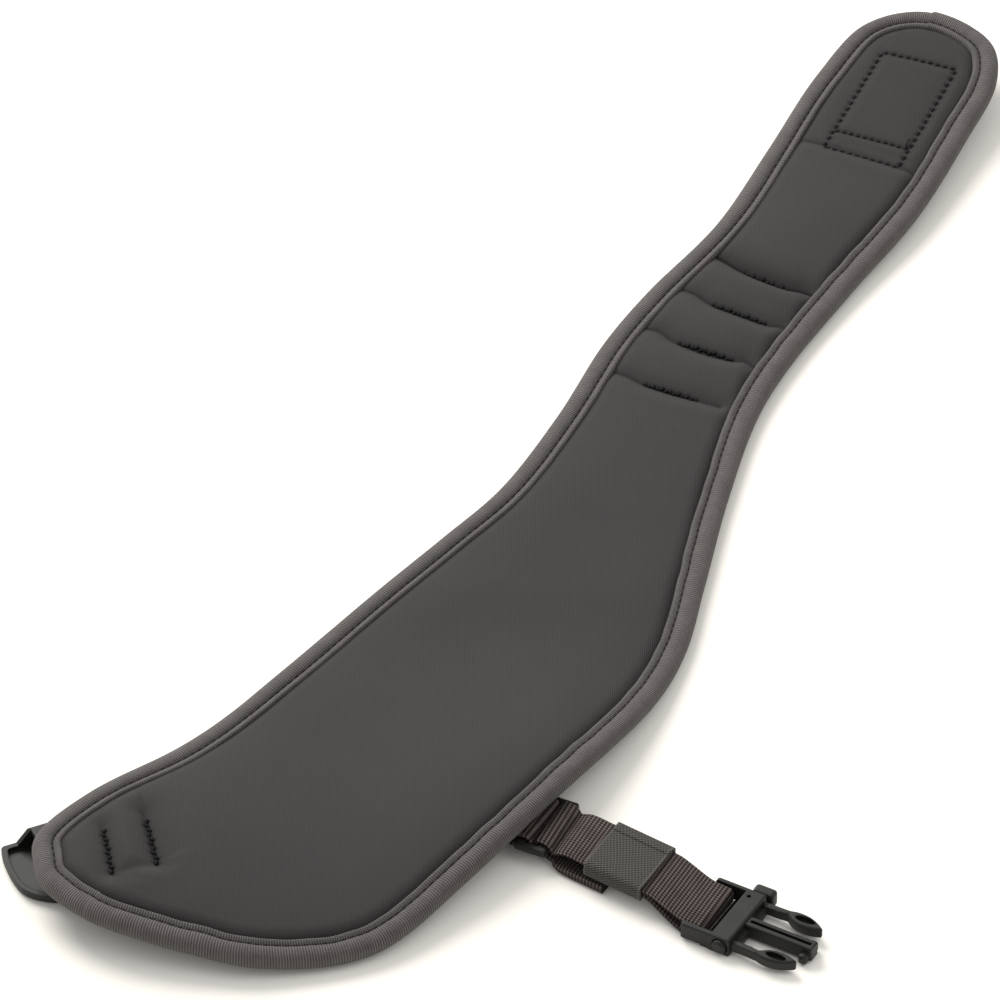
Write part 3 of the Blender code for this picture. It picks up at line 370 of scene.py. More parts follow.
def crease_away(x, y, path):
    """Distance of places from a curved line, and on which side of it they lie."""
    line = curve_through([(a * PAD_LENGTH, b * PAD_WIDTH) for a, b in path], 3)
    best = np.full(x.shape, 1.0)
    side = np.zeros(x.shape)
    for first, last in zip(line, line[1:]):
        way = last - first
        place = np.clip(((x - first[0]) * way[0] + (y - first[1]) * way[1]) / way.dot(way), 0, 1)
        over, up = x - first[0] - place * way[0], y - first[1] - place * way[1]
        away = np.hypot(over, up)
        closer = away < best
        best = np.where(closer, away, best)
        side = np.where(closer, np.sign(way[0] * up - way[1] * over), side)
    return best, side


def crown_share(distance):
    """How far the pad's face has risen from its edge, from 0 to 1."""
    near = np.clip((distance - CROWN_START) / EDGE_ROLL_RUN, 0.0, 1.0)
    wide = np.clip((distance - CROWN_START) / CROWN_RUN, 0.0, 1.0)
    return EDGE_ROLL * (1.0 - (1.0 - near) ** 2) + (1.0 - EDGE_ROLL) * (1.0 - (1.0 - wide) ** 2.2)


def end_share(x, y):
    """1 on the pressed end beyond the last crease, falling to 0 across it."""
    path = CREASES[END_CREASE][3]
    first, last = path[0], path[-1]
    share = (y / PAD_WIDTH - first[1]) / (last[1] - first[1])
    line = (first[0] + (last[0] - first[0]) * share) * PAD_LENGTH
    beyond = np.clip((x - line) / END_RUN, 0.0, 1.0)
    return beyond * beyond * (3 - 2 * beyond)


def top_height(x, y, distance):
    """Height of the pad's upper face, with its crown, sewn creases and slack folds."""
    crown = crown_share(distance)
    rise = PAD_THICKNESS - PAD_EDGE_HEIGHT - PAD_EDGE_THICKNESS / 2
    height = lift(x, y) + PAD_EDGE_HEIGHT + PAD_EDGE_THICKNESS / 2 + crown * rise
    dent, bulge = np.zeros_like(x), np.zeros_like(x)
    for depth, reach, dark, path in CREASES:
        away, side = crease_away(x, y, path)
        sharp = np.exp(-(away / reach) ** 1.3)
        wide = np.exp(-(away / (3.4 * reach)) ** 2)
        dent = np.maximum(dent, depth * (0.58 * sharp + 0.42 * wide))
        swell = np.exp(-((away - BULGE_AWAY * reach) / (1.5 * reach)) ** 2)
        bulge = np.maximum(bulge, BULGE_SHARE * depth * swell * (side < 0))
    height += crown * (bulge - dent - PRESSED_END * end_share(x, y))
    for row in FOLDS:
        height += crown * row[4] * np.exp(-(away_from(x, y, row) / row[5]) ** 2)
    height += crown * WAVE_HEIGHT * ripple(x, y, WAVE_LENGTH, 1)
    return height


def stitch_places():
    """Middle of every stitch and knot, with the way that its thread runs and its half-length."""
    places = []
    for along_1, across_1, along_2, across_2, count in STITCH_ROWS:
        first = Vector((along_1 * PAD_LENGTH, across_1 * PAD_WIDTH))
        last = Vector((along_2 * PAD_LENGTH, across_2 * PAD_WIDTH))
        way = (last - first).normalized()
        half = 0.29 * (last - first).length / count
        for i in range(count):
            wander = 0.00008 * math.sin(2.3 * i + 40 * along_1)
            middle = first.lerp(last, (i + 0.5) / count) + way.orthogonal() * wander
            places.append(("stitch", middle, way, half, THREAD_RADIUS))
    for along_1, across_1, along_2, across_2, count, size in TACKS:
        first = Vector((along_1 * PAD_LENGTH, across_1 * PAD_WIDTH))
        last = Vector((along_2 * PAD_LENGTH, across_2 * PAD_WIDTH))
        way = (last - first).normalized()
        for i in range(count):
            sway = TACK_SWAY * (-1) ** i * (1.0 + 0.4 * math.sin(1.9 * i))
            middle = first.lerp(last, (i + 0.5) / count) + way.orthogonal() * sway
            turned = (way + way.orthogonal() * (0.8 if i % 3 else -0.5)).normalized()
            places.append(("tack", middle, turned, 0.9 * size, size))
    return places


def painted_face_shade(x, y, distance, places):
    """Painted shade on the pad's face where it is creased, pierced or tucked under the tape, and on its
    pressed end.
    """
    dark = EDGE_SHADE * np.exp(-((distance - EDGE_SHADE_AT) / EDGE_SHADE_REACH) ** 2)
    dark = np.maximum(dark, END_SHADE * end_share(x, y))
    for depth, reach, painted_crease_shade, path in CREASES:
        away, side = crease_away(x, y, path)
        dark = np.maximum(dark, painted_crease_shade * np.exp(-(away / (CREASE_LINE * reach)) ** 2))
        upper = np.exp(-(away / (CREASE_SIDE_REACH * reach)) ** 1.5) * (side > 0)
        dark = np.maximum(dark, CREASE_SIDE * painted_crease_shade * upper)
    for kind, middle, way, half, radius in places:
        reach = HOLE_REACH + 0.4 * radius
        near = np.abs(x - middle.x) < 4 * reach
        away = np.hypot(x[near] - middle.x, y[near] - middle.y)
        dark[near] = np.maximum(dark[near], HOLE_SHADE * np.exp(-(away / reach) ** 2))
    return dark


def mesh_piece(name, vertices, faces):
    mesh = bpy.data.meshes.new(name)
    mesh.from_pydata(vertices, [], faces)
    mesh.update()
    mesh.shade_smooth()
    piece = bpy.data.objects.new(name, mesh)
    bpy.context.collection.objects.link(piece)
    return piece


def grid_faces(rows, columns, close_rows=False, close_columns=False):
    faces = []
    for i in range(rows if close_rows else rows - 1):
        n = (i + 1) % rows
        for j in range(columns if close_columns else columns - 1):
            k = (j + 1) % columns
            faces.append((i * columns + j, n * columns + j, n * columns + k, i * columns + k))
    return faces


def set_uv(piece, values, name="lengths"):
    """Give every corner its vertex's pair of values, mostly lengths in metres."""
    layer = piece.data.uv_layers.new(name=name)
    index = np.empty(len(piece.data.loops), dtype=np.int32)
    piece.data.loops.foreach_get("vertex_index", index)
    layer.data.foreach_set("uv", np.asarray(values)[index].astype(np.float32).ravel())


def pad_stations(low, high):
    """Places of the pad's cross-sections, closer together where it is sewn."""
    ease = np.linspace(low + 0.0004, high - 0.0004, 4000)
    share = ease / PAD_LENGTH
    sewn = np.zeros_like(share)
    for first, last in SEWN_RANGES:
        sewn = np.maximum(sewn, ((share > first) & (share < last)).astype(float))
    ends = np.exp(-((ease - low) / 0.004)) + np.exp(-((high - ease) / 0.004))
    weight = np.concatenate([[0.0], np.cumsum((1.0 / PAD_STEP + sewn / SEWN_STEP + 1800 * ends)[:-1]
                                              * np.diff(ease))])
    return np.interp(np.linspace(0.0, weight[-1], int(weight[-1])), weight, ease)


def make_pad(places):
    outer = outline()
    loop = outer + inward(outer) * PAD_INSET
    low, high = loop[:, 0].min(), loop[:, 0].max()
    tip, toe = int(loop[:, 0].argmin()), int(loop[:, 0].argmax())
    order = np.roll(np.arange(len(loop)), -tip)
    split = int(np.where(order == toe)[0][0])
    far, near = loop[order[:split + 1]], np.vstack([loop[order[split:]], loop[tip][None]])[::-1]
    stations = pad_stations(low, high)
    across = 0.5 - 0.5 * np.cos(math.pi * np.linspace(0.0, 1.0, 85))
    across = 0.35 * across + 0.65 * np.linspace(0.0, 1.0, 85)
    under = np.linspace(1.0, 0.0, 21)[1:-1]
    shares = np.concatenate([across, under])
    top_y = np.interp(stations, far[:, 0], far[:, 1])
    low_y = np.interp(stations, near[:, 0], near[:, 1])
    x = np.repeat(stations, len(shares))
    y = (top_y[:, None] + (low_y - top_y)[:, None] * shares[None, :]).ravel()
    distance = distance_to(loop, np.stack([x, y], axis=1))
    half = PAD_EDGE_THICKNESS / 2
    rounding = np.clip(distance / half, 0.0, 1.0)
    edge = half * np.sqrt(rounding * (2.0 - rounding))
    is_top = np.tile(np.arange(len(shares)) < len(across), len(stations))
    top = top_height(x, y, distance) - half + edge
    share = np.clip((distance - CROWN_START) / CROWN_RUN, 0.0, 1.0)
    bottom = lift(x, y) + PAD_EDGE_HEIGHT - edge - UNDERSIDE_RISE * (1.0 - (1.0 - share) ** 2)
    z = np.where(is_top, top, bottom)
    vertices = np.stack([x, y, z], axis=1) + HOME
    columns = len(shares)
    faces = grid_faces(len(stations), columns, close_columns=True)
    faces.append(tuple(range(columns)))
    faces.append(tuple((len(stations) - 1) * columns + j for j in reversed(range(columns))))
    piece = mesh_piece("pad_cover", vertices.tolist(), faces)
    # The painted shade goes to the knit material as shade values, on the top face only
    dark = np.where(is_top, painted_face_shade(x, y, distance, places), 0.0)
    set_uv(piece, np.stack([dark, np.zeros_like(dark)], axis=1), "shade")
    return piece, loop


def binding_profile():
    """Tape folded round the edge, as depth from the outer edge and height from its middle."""
    r = BINDING_RADIUS
    seam = BINDING_SEAM
    cover = BINDING_COVER
    rows = [(cover + 0.0002, 0.0014), (cover + 0.0001, 0.0023), (cover - 0.0004, 0.00285),
            (cover - 0.0009, 0.0029), (cover - 0.0014, 0.0026)]
    rows += [(seam + 0.0004, 0.0023), (seam, 0.00185), (seam - 0.0004, 0.0024)]
    rows += [(seam - 0.0010, 0.00295), (seam - 0.0020, 0.00325), (seam - 0.0030, 0.0033)]
    for degrees in (72, 56, 40, 24, 8, -10, -26, -42, -60, -80):
        angle = math.radians(degrees)
        rows.append((r - r * math.cos(angle), r * math.sin(angle) * (1.08 if degrees > 0 else 1.0)))
    rows += [(0.5 * cover, -0.00285), (cover, -0.0027), (cover + 0.0002, -0.0017)]
    return rows


def lengths_over(rows):
    """Length along a row of places up to each of them."""
    result = [0.0]
    for first, last in zip(rows, rows[1:]):
        result.append(result[-1] + math.dist(first, last))
    return result


def make_binding():
    loop, along = evenly(outline(), BINDING_STEP)
    normal = inward(loop)
    profile = binding_profile()
    count = len(profile)
    measure = lengths_over(profile)
    wave = ripple(along, np.zeros_like(along), 0.041, 3)
    fine = ripple(along, np.zeros_like(along), 0.0083, 7)
    total = along[-1] + BINDING_STEP
    end = np.array([TAPE_END[0] * PAD_LENGTH, TAPE_END[1] * PAD_WIDTH])
    start = along[np.hypot(*(loop - end).T).argmin()]
    past = (along - start) % total
    overlap = TAPE_STEP * np.clip(1.0 - past / TAPE_OVERLAP, 0.0, 1.0)
    vertices, lengths = [], []
    for i in range(len(loop)):
        for j, (depth, height) in enumerate(profile):
            reach = depth / BINDING_COVER
            inset = depth + reach * (0.00035 * wave[i] + 0.00014 * fine[i]) - overlap[i] * (1.0 - reach)
            x, y = loop[i] + normal[i] * inset
            puff = 0.00016 * fine[i] * (1.0 if height > 0 else 0.0) * min(reach * 2, 1.0)
            puff += 0.8 * overlap[i] * (1.0 if height > 0 else 0.0) * min(reach * 3, 1.0)
            vertices.append((x, y, lift(x, y) + PAD_EDGE_HEIGHT + height + puff))
            lengths.append((along[i], measure[j]))
    faces = grid_faces(len(loop), count, close_rows=True)
    piece = mesh_piece("edge_tape", (np.array(vertices) + HOME).tolist(), faces)
    wrap_uv(piece, lengths, count, total)
    return piece


def wrap_uv(piece, lengths, count, total):
    """Give the corners of a closed band their lengths, also across the place where it closes."""
    uv = piece.data.uv_layers.new(name="lengths")
    values = np.empty((len(piece.data.loops), 2), dtype=np.float32)
    for polygon in piece.data.polygons:
        rows = [v // count for v in polygon.vertices]
        wraps = max(rows) - min(rows) > 1
        for corner, vertex in zip(polygon.loop_indices, polygon.vertices):
            a, b = lengths[vertex]
            values[corner] = (a + total if wraps and vertex // count == 0 else a, b)
    uv.data.foreach_set("uv", values.ravel())


def tube_piece(name, paths, radii, sides=6):
    """Thin threads along short paths, in one piece."""
    vertices, faces = [], []
    for path, radius in zip(paths, radii):
        path = [Vector(p) for p in path]
        base = len(vertices)
        for i, point in enumerate(path):
            ahead = (path[min(i + 1, len(path) - 1)] - path[max(i - 1, 0)]).normalized()
            side = ahead.cross(Vector((0, 0, 1)))
            side = side.normalized() if side.length > 1e-6 else Vector((1, 0, 0))
            up = side.cross(ahead)
            for k in range(sides):
                angle = 2 * math.pi * k / sides
                vertices.append(point + side * radius * math.cos(angle) + up * radius * math.sin(angle))
        for i in range(len(path) - 1):
            for k in range(sides):
                n = (k + 1) % sides
                a, b = base + i * sides, base + (i + 1) * sides
                faces.append((a + k, b + k, b + n, a + n))
        faces.append(tuple(base + k for k in range(sides)))
        faces.append(tuple(base + (len(path) - 1) * sides + k for k in reversed(range(sides))))
    return mesh_piece(name, [tuple(v) for v in vertices], faces)


def on_pad(loop, x, y, above):
    distance = distance_to(loop, np.array([[x, y]]))
    z = float(top_height(np.array([x]), np.array([y]), distance)[0]) + above
    return (x + HOME[0], y + HOME[1], z + HOME[2])


def thread_path(loop, middle, way, half, radius):
    """A short thread that dips into the face at both ends."""
    path = []
    for share, above in ((-1.15, -THREAD_DEPTH), (-0.7, 0.05 * radius), (0.0, 0.35 * radius),
                         (0.7, 0.05 * radius), (1.15, -THREAD_DEPTH)):
        place = middle + way * (share * half)
        path.append(on_pad(loop, place.x, place.y, above))
    return path


def make_stitches(loop, places):
    paths = [thread_path(loop, *row[1:]) for row in places if row[0] == "stitch"]
    tail = []
    for along, across, above in LOOSE_THREAD:
        tail.append(on_pad(loop, along * PAD_LENGTH, across * PAD_WIDTH, above))
    paths.append([tuple(p) for p in curve_through(tail, 4)])
    return tube_piece("box_stitches", paths, [THREAD_RADIUS] * (len(paths) - 1) + [0.5 * THREAD_RADIUS])


def make_tacks(loop, places):
    rows = [row for row in places if row[0] == "tack"]
    paths = [thread_path(loop, *row[1:]) for row in rows]
    return tube_piece("tack_stitches", paths, [row[4] for row in rows])


def loop_round(bar_length, bar_height):
    """Middle line of webbing folded round a bar, from below to above: outwards and up."""
    out = bar_length / 2 + 1.5 * CLEARANCE + WEBBING_THICKNESS / 2
    up = bar_height / 2 + 1.5 * CLEARANCE + WEBBING_THICKNESS / 2
    rows = []
    for degrees in range(-90, 91, 30):
        angle = math.radians(degrees)
        rise = math.copysign(abs(math.sin(angle)) ** 0.5, math.sin(angle))
        rows.append((out * abs(math.cos(angle)) ** 0.5, up * rise))
    return rows


def strip_piece(name, rings):
    """Flat webbing along rings of (centre, across, up, width, thickness), with lengths on its faces."""
    corners = ((0.5, 0.22), (0.5, -0.22), (0.47, -0.5), (-0.47, -0.5), (-0.5, -0.22), (-0.5, 0.22),
               (-0.47, 0.5), (-0.16, 0.5), (0.16, 0.5), (0.47, 0.5))
    vertices, lengths, gone, before = [], [], 0.0, None
    for centre, across, up, width, thickness in rings:
        if before is not None:
            gone += (centre - before).length
        before = centre
        for a, b in corners:
            vertices.append(tuple(centre + across * (a * width) + up * (b * thickness)))
            lengths.append((gone, a * width + (0.004 if b < 0 else 0.0)))
    count = len(corners)
    faces = grid_faces(len(rings), count, close_columns=True)
    faces.append(tuple(range(count)))
    faces.append(tuple((len(rings) - 1) * count + j for j in reversed(range(count))))
    piece = mesh_piece(name, (np.array(vertices) + HOME).tolist(), faces)
    piece.data.set_sharp_from_angle(angle=math.radians(50))
    set_uv(piece, lengths)
    return piece


def make_strap():
    """The side strap in the course that the solid has, smoother and with a rib to every weft."""
    bar_middle = BUCKLE_BAR_HEIGHT / 2 + 2 * CLEARANCE + WEBBING_THICKNESS
    rows = [(a * STRAP_RUN, h * TOP_LAYER_HEIGHT, t * WEBBING_THICKNESS) for a, h, t in STRAP_COURSE]
    turn = loop_round(BUCKLE_BAR, BUCKLE_BAR_HEIGHT)
    rows += [(STRAP_RUN + out, bar_middle + up, WEBBING_THICKNESS) for out, up in turn[::-1]]
    rows += [(a * STRAP_RUN, h * TOP_LAYER_HEIGHT, t * WEBBING_THICKNESS) for a, h, t in STRAP_RETURN]
    rows = curve_through(rows, 4)
    at_bar = BUCKLE_SHIFT + BUCKLE_BAR_SETBACK * math.sin(STRAP_TURN)
    drift = 0.07 * STRAP_RUN * math.tan(STRAP_TURN)
    rings = []
    for i, (along, height, thickness) in enumerate(rows):
        before, after = rows[max(i - 1, 0)], rows[min(i + 1, len(rows) - 1)]
        heading = Vector((0.0, -(after[0] - before[0]), after[1] - before[1])).normalized()
        share = min(max(along / STRAP_RUN, 0.0), 1.0)
        turned = SLIDER_TURN + (STRAP_TURN - SLIDER_TURN) * min(share * 3, 1.0)
        tail = along < STRAP_RUN / 2 and height < TAIL_HEIGHT
        slip = np.interp(along, (0.70 * STRAP_RUN, 0.93 * STRAP_RUN, 1.07 * STRAP_RUN),
                         (0.0, at_bar - drift, at_bar + drift))
        aside = -TAIL_SHIFT * min(share * 8, 1.0) if tail else float(slip)
        centre = Vector((STRAP_X + aside, STRAP_Y - along, height))
        across = Vector((math.cos(turned), math.sin(turned), 0.0))
        up = Vector((1.0, 0.0, 0.0)).cross(heading).normalized()
        rings.append((centre, across, up, WEBBING_WIDTH, thickness))
    return strip_piece("side_strap", rings)


def make_anchor():
    """The tab that holds the slider, in the course that the solid has."""
    bar = SLIDER_LENGTH - SLIDER_BAR
    turn = loop_round(SLIDER_BAR, SLIDER_THICKNESS)
    rows = [(bar + ANCHOR_RETURN, SLIDER_HEIGHT - turn[-1][1] * 0.6)]
    rows += [(bar - out, SLIDER_HEIGHT + up) for out, up in turn]
    across = Vector((math.cos(SLIDER_TURN), math.sin(SLIDER_TURN), 0.0))
    ahead = Vector((-math.sin(SLIDER_TURN), math.cos(SLIDER_TURN), 0.0))
    foot = Vector((STRAP_X, STRAP_Y, 0.0))
    for share in (0.26, 0.50, 0.75, 1.0):
        along = bar + share * ANCHOR_LENGTH
        place = foot + ahead * along
        rows.append((along, float(lift(place.x, place.y)) - SEWN_GAP - WEBBING_THICKNESS / 2))
    rows = curve_through(rows, 4)
    rings = []
    for i, (along, height) in enumerate(rows):
        before, after = rows[max(i - 1, 0)], rows[min(i + 1, len(rows) - 1)]
        heading = ahead * (after[0] - before[0]) + Vector((0.0, 0.0, after[1] - before[1]))
        centre = foot + ahead * along + Vector((0.0, 0.0, height))
        up = across.cross(heading.normalized()).normalized()
        rings.append((centre, across, up, WEBBING_WIDTH, WEBBING_THICKNESS))
    return strip_piece("slider_tab", rings)


def make_keeper():
    """Elastic loop with one end lapped over the other near its far edge."""
    lower = 0.767 * TOP_LAYER_HEIGHT - WEBBING_THICKNESS / 2 - CLEARANCE
    upper = TOP_LAYER_HEIGHT + WEBBING_THICKNESS / 2 + CLEARANCE
    middle, half = (lower + upper) / 2, (upper - lower) / 2
    side = WEBBING_WIDTH / 2 + CLEARANCE
    profiles = []
    for grow in (0.0, KEEPER_WALL):
        radius = half * 0.5 + grow
        flat_x, flat_z = side + grow - radius, half + grow - radius
        points = []
        for corner, (sx, sz) in enumerate(((1, 1), (-1, 1), (-1, -1), (1, -1))):
            for step in range(6):
                angle = math.radians(90 * corner + 18 * step)
                points.append((sx * flat_x + radius * math.cos(angle),
                               middle + sz * flat_z + radius * math.sin(angle)))
            if corner == 0:
                for share in (0.10, 0.155, 0.17, 0.4, 0.7):
                    lap = 0.00035 if share < 0.16 and grow else 0.0
                    points.append((flat_x * (1 - 2 * share), half + middle + grow + lap))
        profiles.append(points)
    inner, outer = profiles
    count = len(outer)
    around = lengths_over(outer)
    stations = list(np.linspace(0.0, 1.0, 7))
    vertices, lengths = [], []
    for points, order in ((outer, stations), (inner, stations[::-1])):
        for share in order:
            along = KEEPER_START + KEEPER_LENGTH * share
            for j, (across, height) in enumerate(points):
                crimp = 0.00012 * math.sin(9.0 * share + 0.8 * j)
                vertices.append((STRAP_X + across * math.cos(STRAP_TURN),
                                 STRAP_Y - along + across * math.sin(STRAP_TURN) + crimp, height))
                lengths.append((along, around[j]))
    rows = 2 * len(stations)
    faces = grid_faces(rows, count, close_rows=True, close_columns=True)
    piece = mesh_piece("keeper_loop", (np.array(vertices) + HOME).tolist(), faces)
    piece.data.set_sharp_from_angle(angle=math.radians(50))
    set_uv(piece, lengths)
    return piece


class Nodes:
    """Short way to build a material from procedural nodes."""

    def __init__(self, name, roughness=0.8):
        self.material = bpy.data.materials.new(name)
        self.material.use_nodes = True
        self.tree = self.material.node_tree
        self.shader = self.tree.nodes["Principled BSDF"]
        self.shader.inputs["Roughness"].default_value = roughness

    def add(self, kind, **values):
        node = self.tree.nodes.new(kind)
        for key, value in values.items():
            if key in node.inputs:
                node.inputs[key].default_value = value
            else:
                setattr(node, key, value)
        return node

    def link(self, source, target):
        self.tree.links.new(source, target)

    def math(self, operation, a, b=None):
        node = self.add("ShaderNodeMath", operation=operation)
        for socket, value in zip(node.inputs, (a, b)):
            if value is None:
                continue
            if isinstance(value, (int, float)):
                socket.default_value = value
            else:
                self.link(value, socket)
        return node.outputs[0]

    def mix(self, factor, a, b):
        node = self.add("ShaderNodeMix", data_type="RGBA")
        for socket, value in ((node.inputs[0], factor), (node.inputs[6], a), (node.inputs[7], b)):
            if isinstance(value, (int, float)):
                socket.default_value = value
            elif isinstance(value, tuple):
                socket.default_value = (*value, 1.0)
            else:
                self.link(value, socket)
        return node.outputs[2]

    def ramp(self, value, low, high):
        node = self.add("ShaderNodeMapRange", interpolation_type="SMOOTHSTEP")
        self.link(value, node.inputs["Value"])
        node.inputs["From Min"].default_value = low
        node.inputs["From Max"].default_value = high
        return node.outputs[0]

    def noise(self, vector, scale, detail=3.0, roughness=0.55):
        node = self.add("ShaderNodeTexNoise", Scale=scale, Detail=detail, Roughness=roughness)
        self.link(vector, node.inputs["Vector"])
        return node.outputs["Fac"]

    def wave(self, vector, direction, pitch):
        """Sine of the distance along a direction, between -1 and 1."""
        dot = self.add("ShaderNodeVectorMath", operation="DOT_PRODUCT")
        self.link(vector, dot.inputs[0])
        dot.inputs[1].default_value = direction
        phase = self.math("MULTIPLY", dot.outputs["Value"], 2 * math.pi / pitch)
        return self.math("SINE", phase)

    def bump(self, height, distance, strength=1.0, normal=None):
        node = self.add("ShaderNodeBump", Strength=strength, Distance=distance)
        self.link(height, node.inputs["Height"])
        if normal is not None:
            self.link(normal, node.inputs["Normal"])
        return node.outputs[0]

    def place(self):
        return self.add("ShaderNodeTexCoord").outputs["Object"]

    def uv(self, name="lengths"):
        return self.add("ShaderNodeUVMap", uv_map=name).outputs[0]

    def finish(self, colour, normal):
        self.link(colour, self.shader.inputs["Base Color"])
        self.link(normal, self.shader.inputs["Normal"])
        return self.material


RIGHT_WAY = (math.cos(CAMERA_AZIMUTH), math.sin(CAMERA_AZIMUTH), 0.0)
AWAY_WAY = (-math.sin(CAMERA_AZIMUTH), math.cos(CAMERA_AZIMUTH), 0.0)


def knit_material():
    """Fine knit over foam: close wales, faint rows, soft mottling, a little lint and painted shade."""
    n = Nodes("knit over foam", 0.82)
    place = n.place()
    mottle = n.noise(place, 60.0, 4.0, 0.6)
    fibre = n.noise(place, 2600.0, 2.0, 0.6)
    wales = n.wave(place, RIGHT_WAY, 0.00063)
    rows = n.wave(place, AWAY_WAY, 0.00047)
    weave = n.math("ADD", n.math("MULTIPLY", wales, 0.55), n.math("MULTIPLY", rows, 0.22))
    weave = n.math("ADD", weave, n.math("MULTIPLY", fibre, 1.1))
    warm = n.mix(n.ramp(mottle, 0.35, 0.65), KNIT_WARM, KNIT_COOL)
    shade = n.mix(n.ramp(weave, -0.6, 1.5), tuple(0.52 * c for c in KNIT_WARM), warm)
    shade = n.mix(0.60, warm, shade)
    lint = n.add("ShaderNodeTexVoronoi", Scale=120.0, feature="F1")
    n.link(place, lint.inputs["Vector"])
    speck = n.math("SUBTRACT", 1.0, n.ramp(lint.outputs["Distance"], 0.012, 0.030))
    rare = n.ramp(n.noise(place, 61.0, 1.0, 0.5), 0.60, 0.66)
    colour = n.mix(n.math("MULTIPLY", n.math("MULTIPLY", speck, rare), 0.45), shade, (0.22, 0.21, 0.20))
    # Painted shade: the pad's shade values darken the knit towards near black and dim its specular
    # reflection
    dark = n.add("ShaderNodeSeparateXYZ")
    n.link(n.uv("shade"), dark.inputs[0])
    colour = n.mix(dark.outputs["X"], colour, (0.002, 0.0018, 0.0018))
    lit = n.math("SUBTRACT", 0.15, n.math("MULTIPLY", dark.outputs["X"], 0.15))
    n.link(lit, n.shader.inputs["Specular IOR Level"])
    n.shader.inputs["Sheen Weight"].default_value = 0.03
    n.shader.inputs["Sheen Roughness"].default_value = 0.45
    normal = n.bump(weave, 0.00010, 0.55)
    return n.finish(colour, normal)


def tape_material():
    """Ribbed tape: close ribs across it and a dark line along its stitched groove, painted shade in the
    groove with darker dashes of thread.
    """
    n = Nodes("ribbed tape", 0.78)
    uv = n.uv()
    ribs = n.wave(uv, (1.0, 0.0, 0.0), 0.00086)
    threads = n.wave(uv, (0.25, 1.0, 0.0), 0.00065)
    fibre = n.noise(uv, 1500.0, 3.0, 0.6)
    mottle = n.noise(uv, 160.0, 3.0, 0.6)
    weave = n.math("ADD", n.math("MULTIPLY", ribs, 0.75), n.math("MULTIPLY", threads, 0.18))
    weave = n.math("ADD", weave, n.math("MULTIPLY", fibre, 0.7))
    base = n.mix(n.ramp(mottle, 0.35, 0.65), TAPE_LIGHT, tuple(0.82 * c for c in TAPE_LIGHT))
    colour = n.mix(n.ramp(weave, -0.5, 1.1), tuple(0.36 * c for c in TAPE_LIGHT), base)
    profile = binding_profile()
    groove = lengths_over(profile)[[depth for depth, height in profile].index(BINDING_SEAM)]
    across = n.add("ShaderNodeSeparateXYZ")
    n.link(uv, across.inputs[0])
    off = n.math("ABSOLUTE", n.math("SUBTRACT", across.outputs["Y"], groove))
    # Dark line along the groove: painted shade in the recess, deepened in dashes where the thread lies
    line = n.math("SUBTRACT", 1.0, n.ramp(off, 0.00022, 0.00078))
    stitch = n.ramp(n.wave(uv, (1.0, 0.0, 0.0), 0.0031), -0.5, 0.5)
    line = n.math("MULTIPLY", line, n.math("ADD", 0.66, n.math("MULTIPLY", stitch, 0.34)))
    colour = n.mix(line, colour, (0.006, 0.0055, 0.0055))
    n.shader.inputs["Sheen Weight"].default_value = 0.05
    n.shader.inputs["Specular IOR Level"].default_value = 0.16
    normal = n.bump(weave, 0.00014, 0.8)
    return n.finish(colour, normal)


def webbing_material(name, lengths, along, across):
    """Woven webbing: ribs across it, broken into a knot for every warp thread."""
    n = Nodes(name, 0.8)
    place = n.uv() if lengths else n.place()
    ribs = n.wave(place, along, 0.00122)
    knots = n.wave(place, across, 0.00100)
    weave = n.math("ADD", n.math("MULTIPLY", ribs, 0.52), n.math("MULTIPLY", knots, 0.34))
    fibre = n.noise(place, 2200.0, 3.0, 0.6)
    weave = n.math("ADD", weave, n.math("MULTIPLY", fibre, 0.5))
    mottle = n.noise(place, 230.0, 3.0, 0.6)
    base = n.mix(n.ramp(mottle, 0.3, 0.7), WEBBING_LIGHT, tuple(0.78 * c for c in WEBBING_LIGHT))
    colour = n.mix(n.ramp(weave, -0.30, 0.95), WEBBING_DARK, base)
    n.shader.inputs["Specular IOR Level"].default_value = 0.22
    normal = n.bump(weave, 0.00026, 0.9)
    return n.finish(colour, normal)


def elastic_material():
    """Elastic with a fine slanting twill and paler woven edges."""
    n = Nodes("elastic", 0.8)
    uv = n.uv()
    twill = n.wave(uv, (0.50, 0.87, 0.0), 0.00078)
    cross = n.wave(uv, (0.87, -0.50, 0.0), 0.00098)
    weave = n.math("ADD", n.math("MULTIPLY", twill, 0.50), n.math("MULTIPLY", cross, 0.28))
    weave = n.math("ADD", weave, n.math("MULTIPLY", n.noise(uv, 2200.0, 3.0, 0.6), 0.6))
    colour = n.mix(n.ramp(weave, -0.35, 1.0), tuple(0.22 * c for c in ELASTIC_LIGHT), ELASTIC_LIGHT)
    split = n.add("ShaderNodeSeparateXYZ")
    n.link(uv, split.inputs[0])
    middle = KEEPER_START + KEEPER_LENGTH / 2
    off = n.math("ABSOLUTE", n.math("SUBTRACT", split.outputs["X"], middle))
    edge = n.ramp(off, KEEPER_LENGTH / 2 - 0.0009, KEEPER_LENGTH / 2 - 0.0003)
    colour = n.mix(n.math("MULTIPLY", edge, 0.5), colour, tuple(1.25 * c for c in ELASTIC_LIGHT))
    n.shader.inputs["Specular IOR Level"].default_value = 0.22
    return n.finish(colour, n.bump(weave, 0.00018, 0.8))


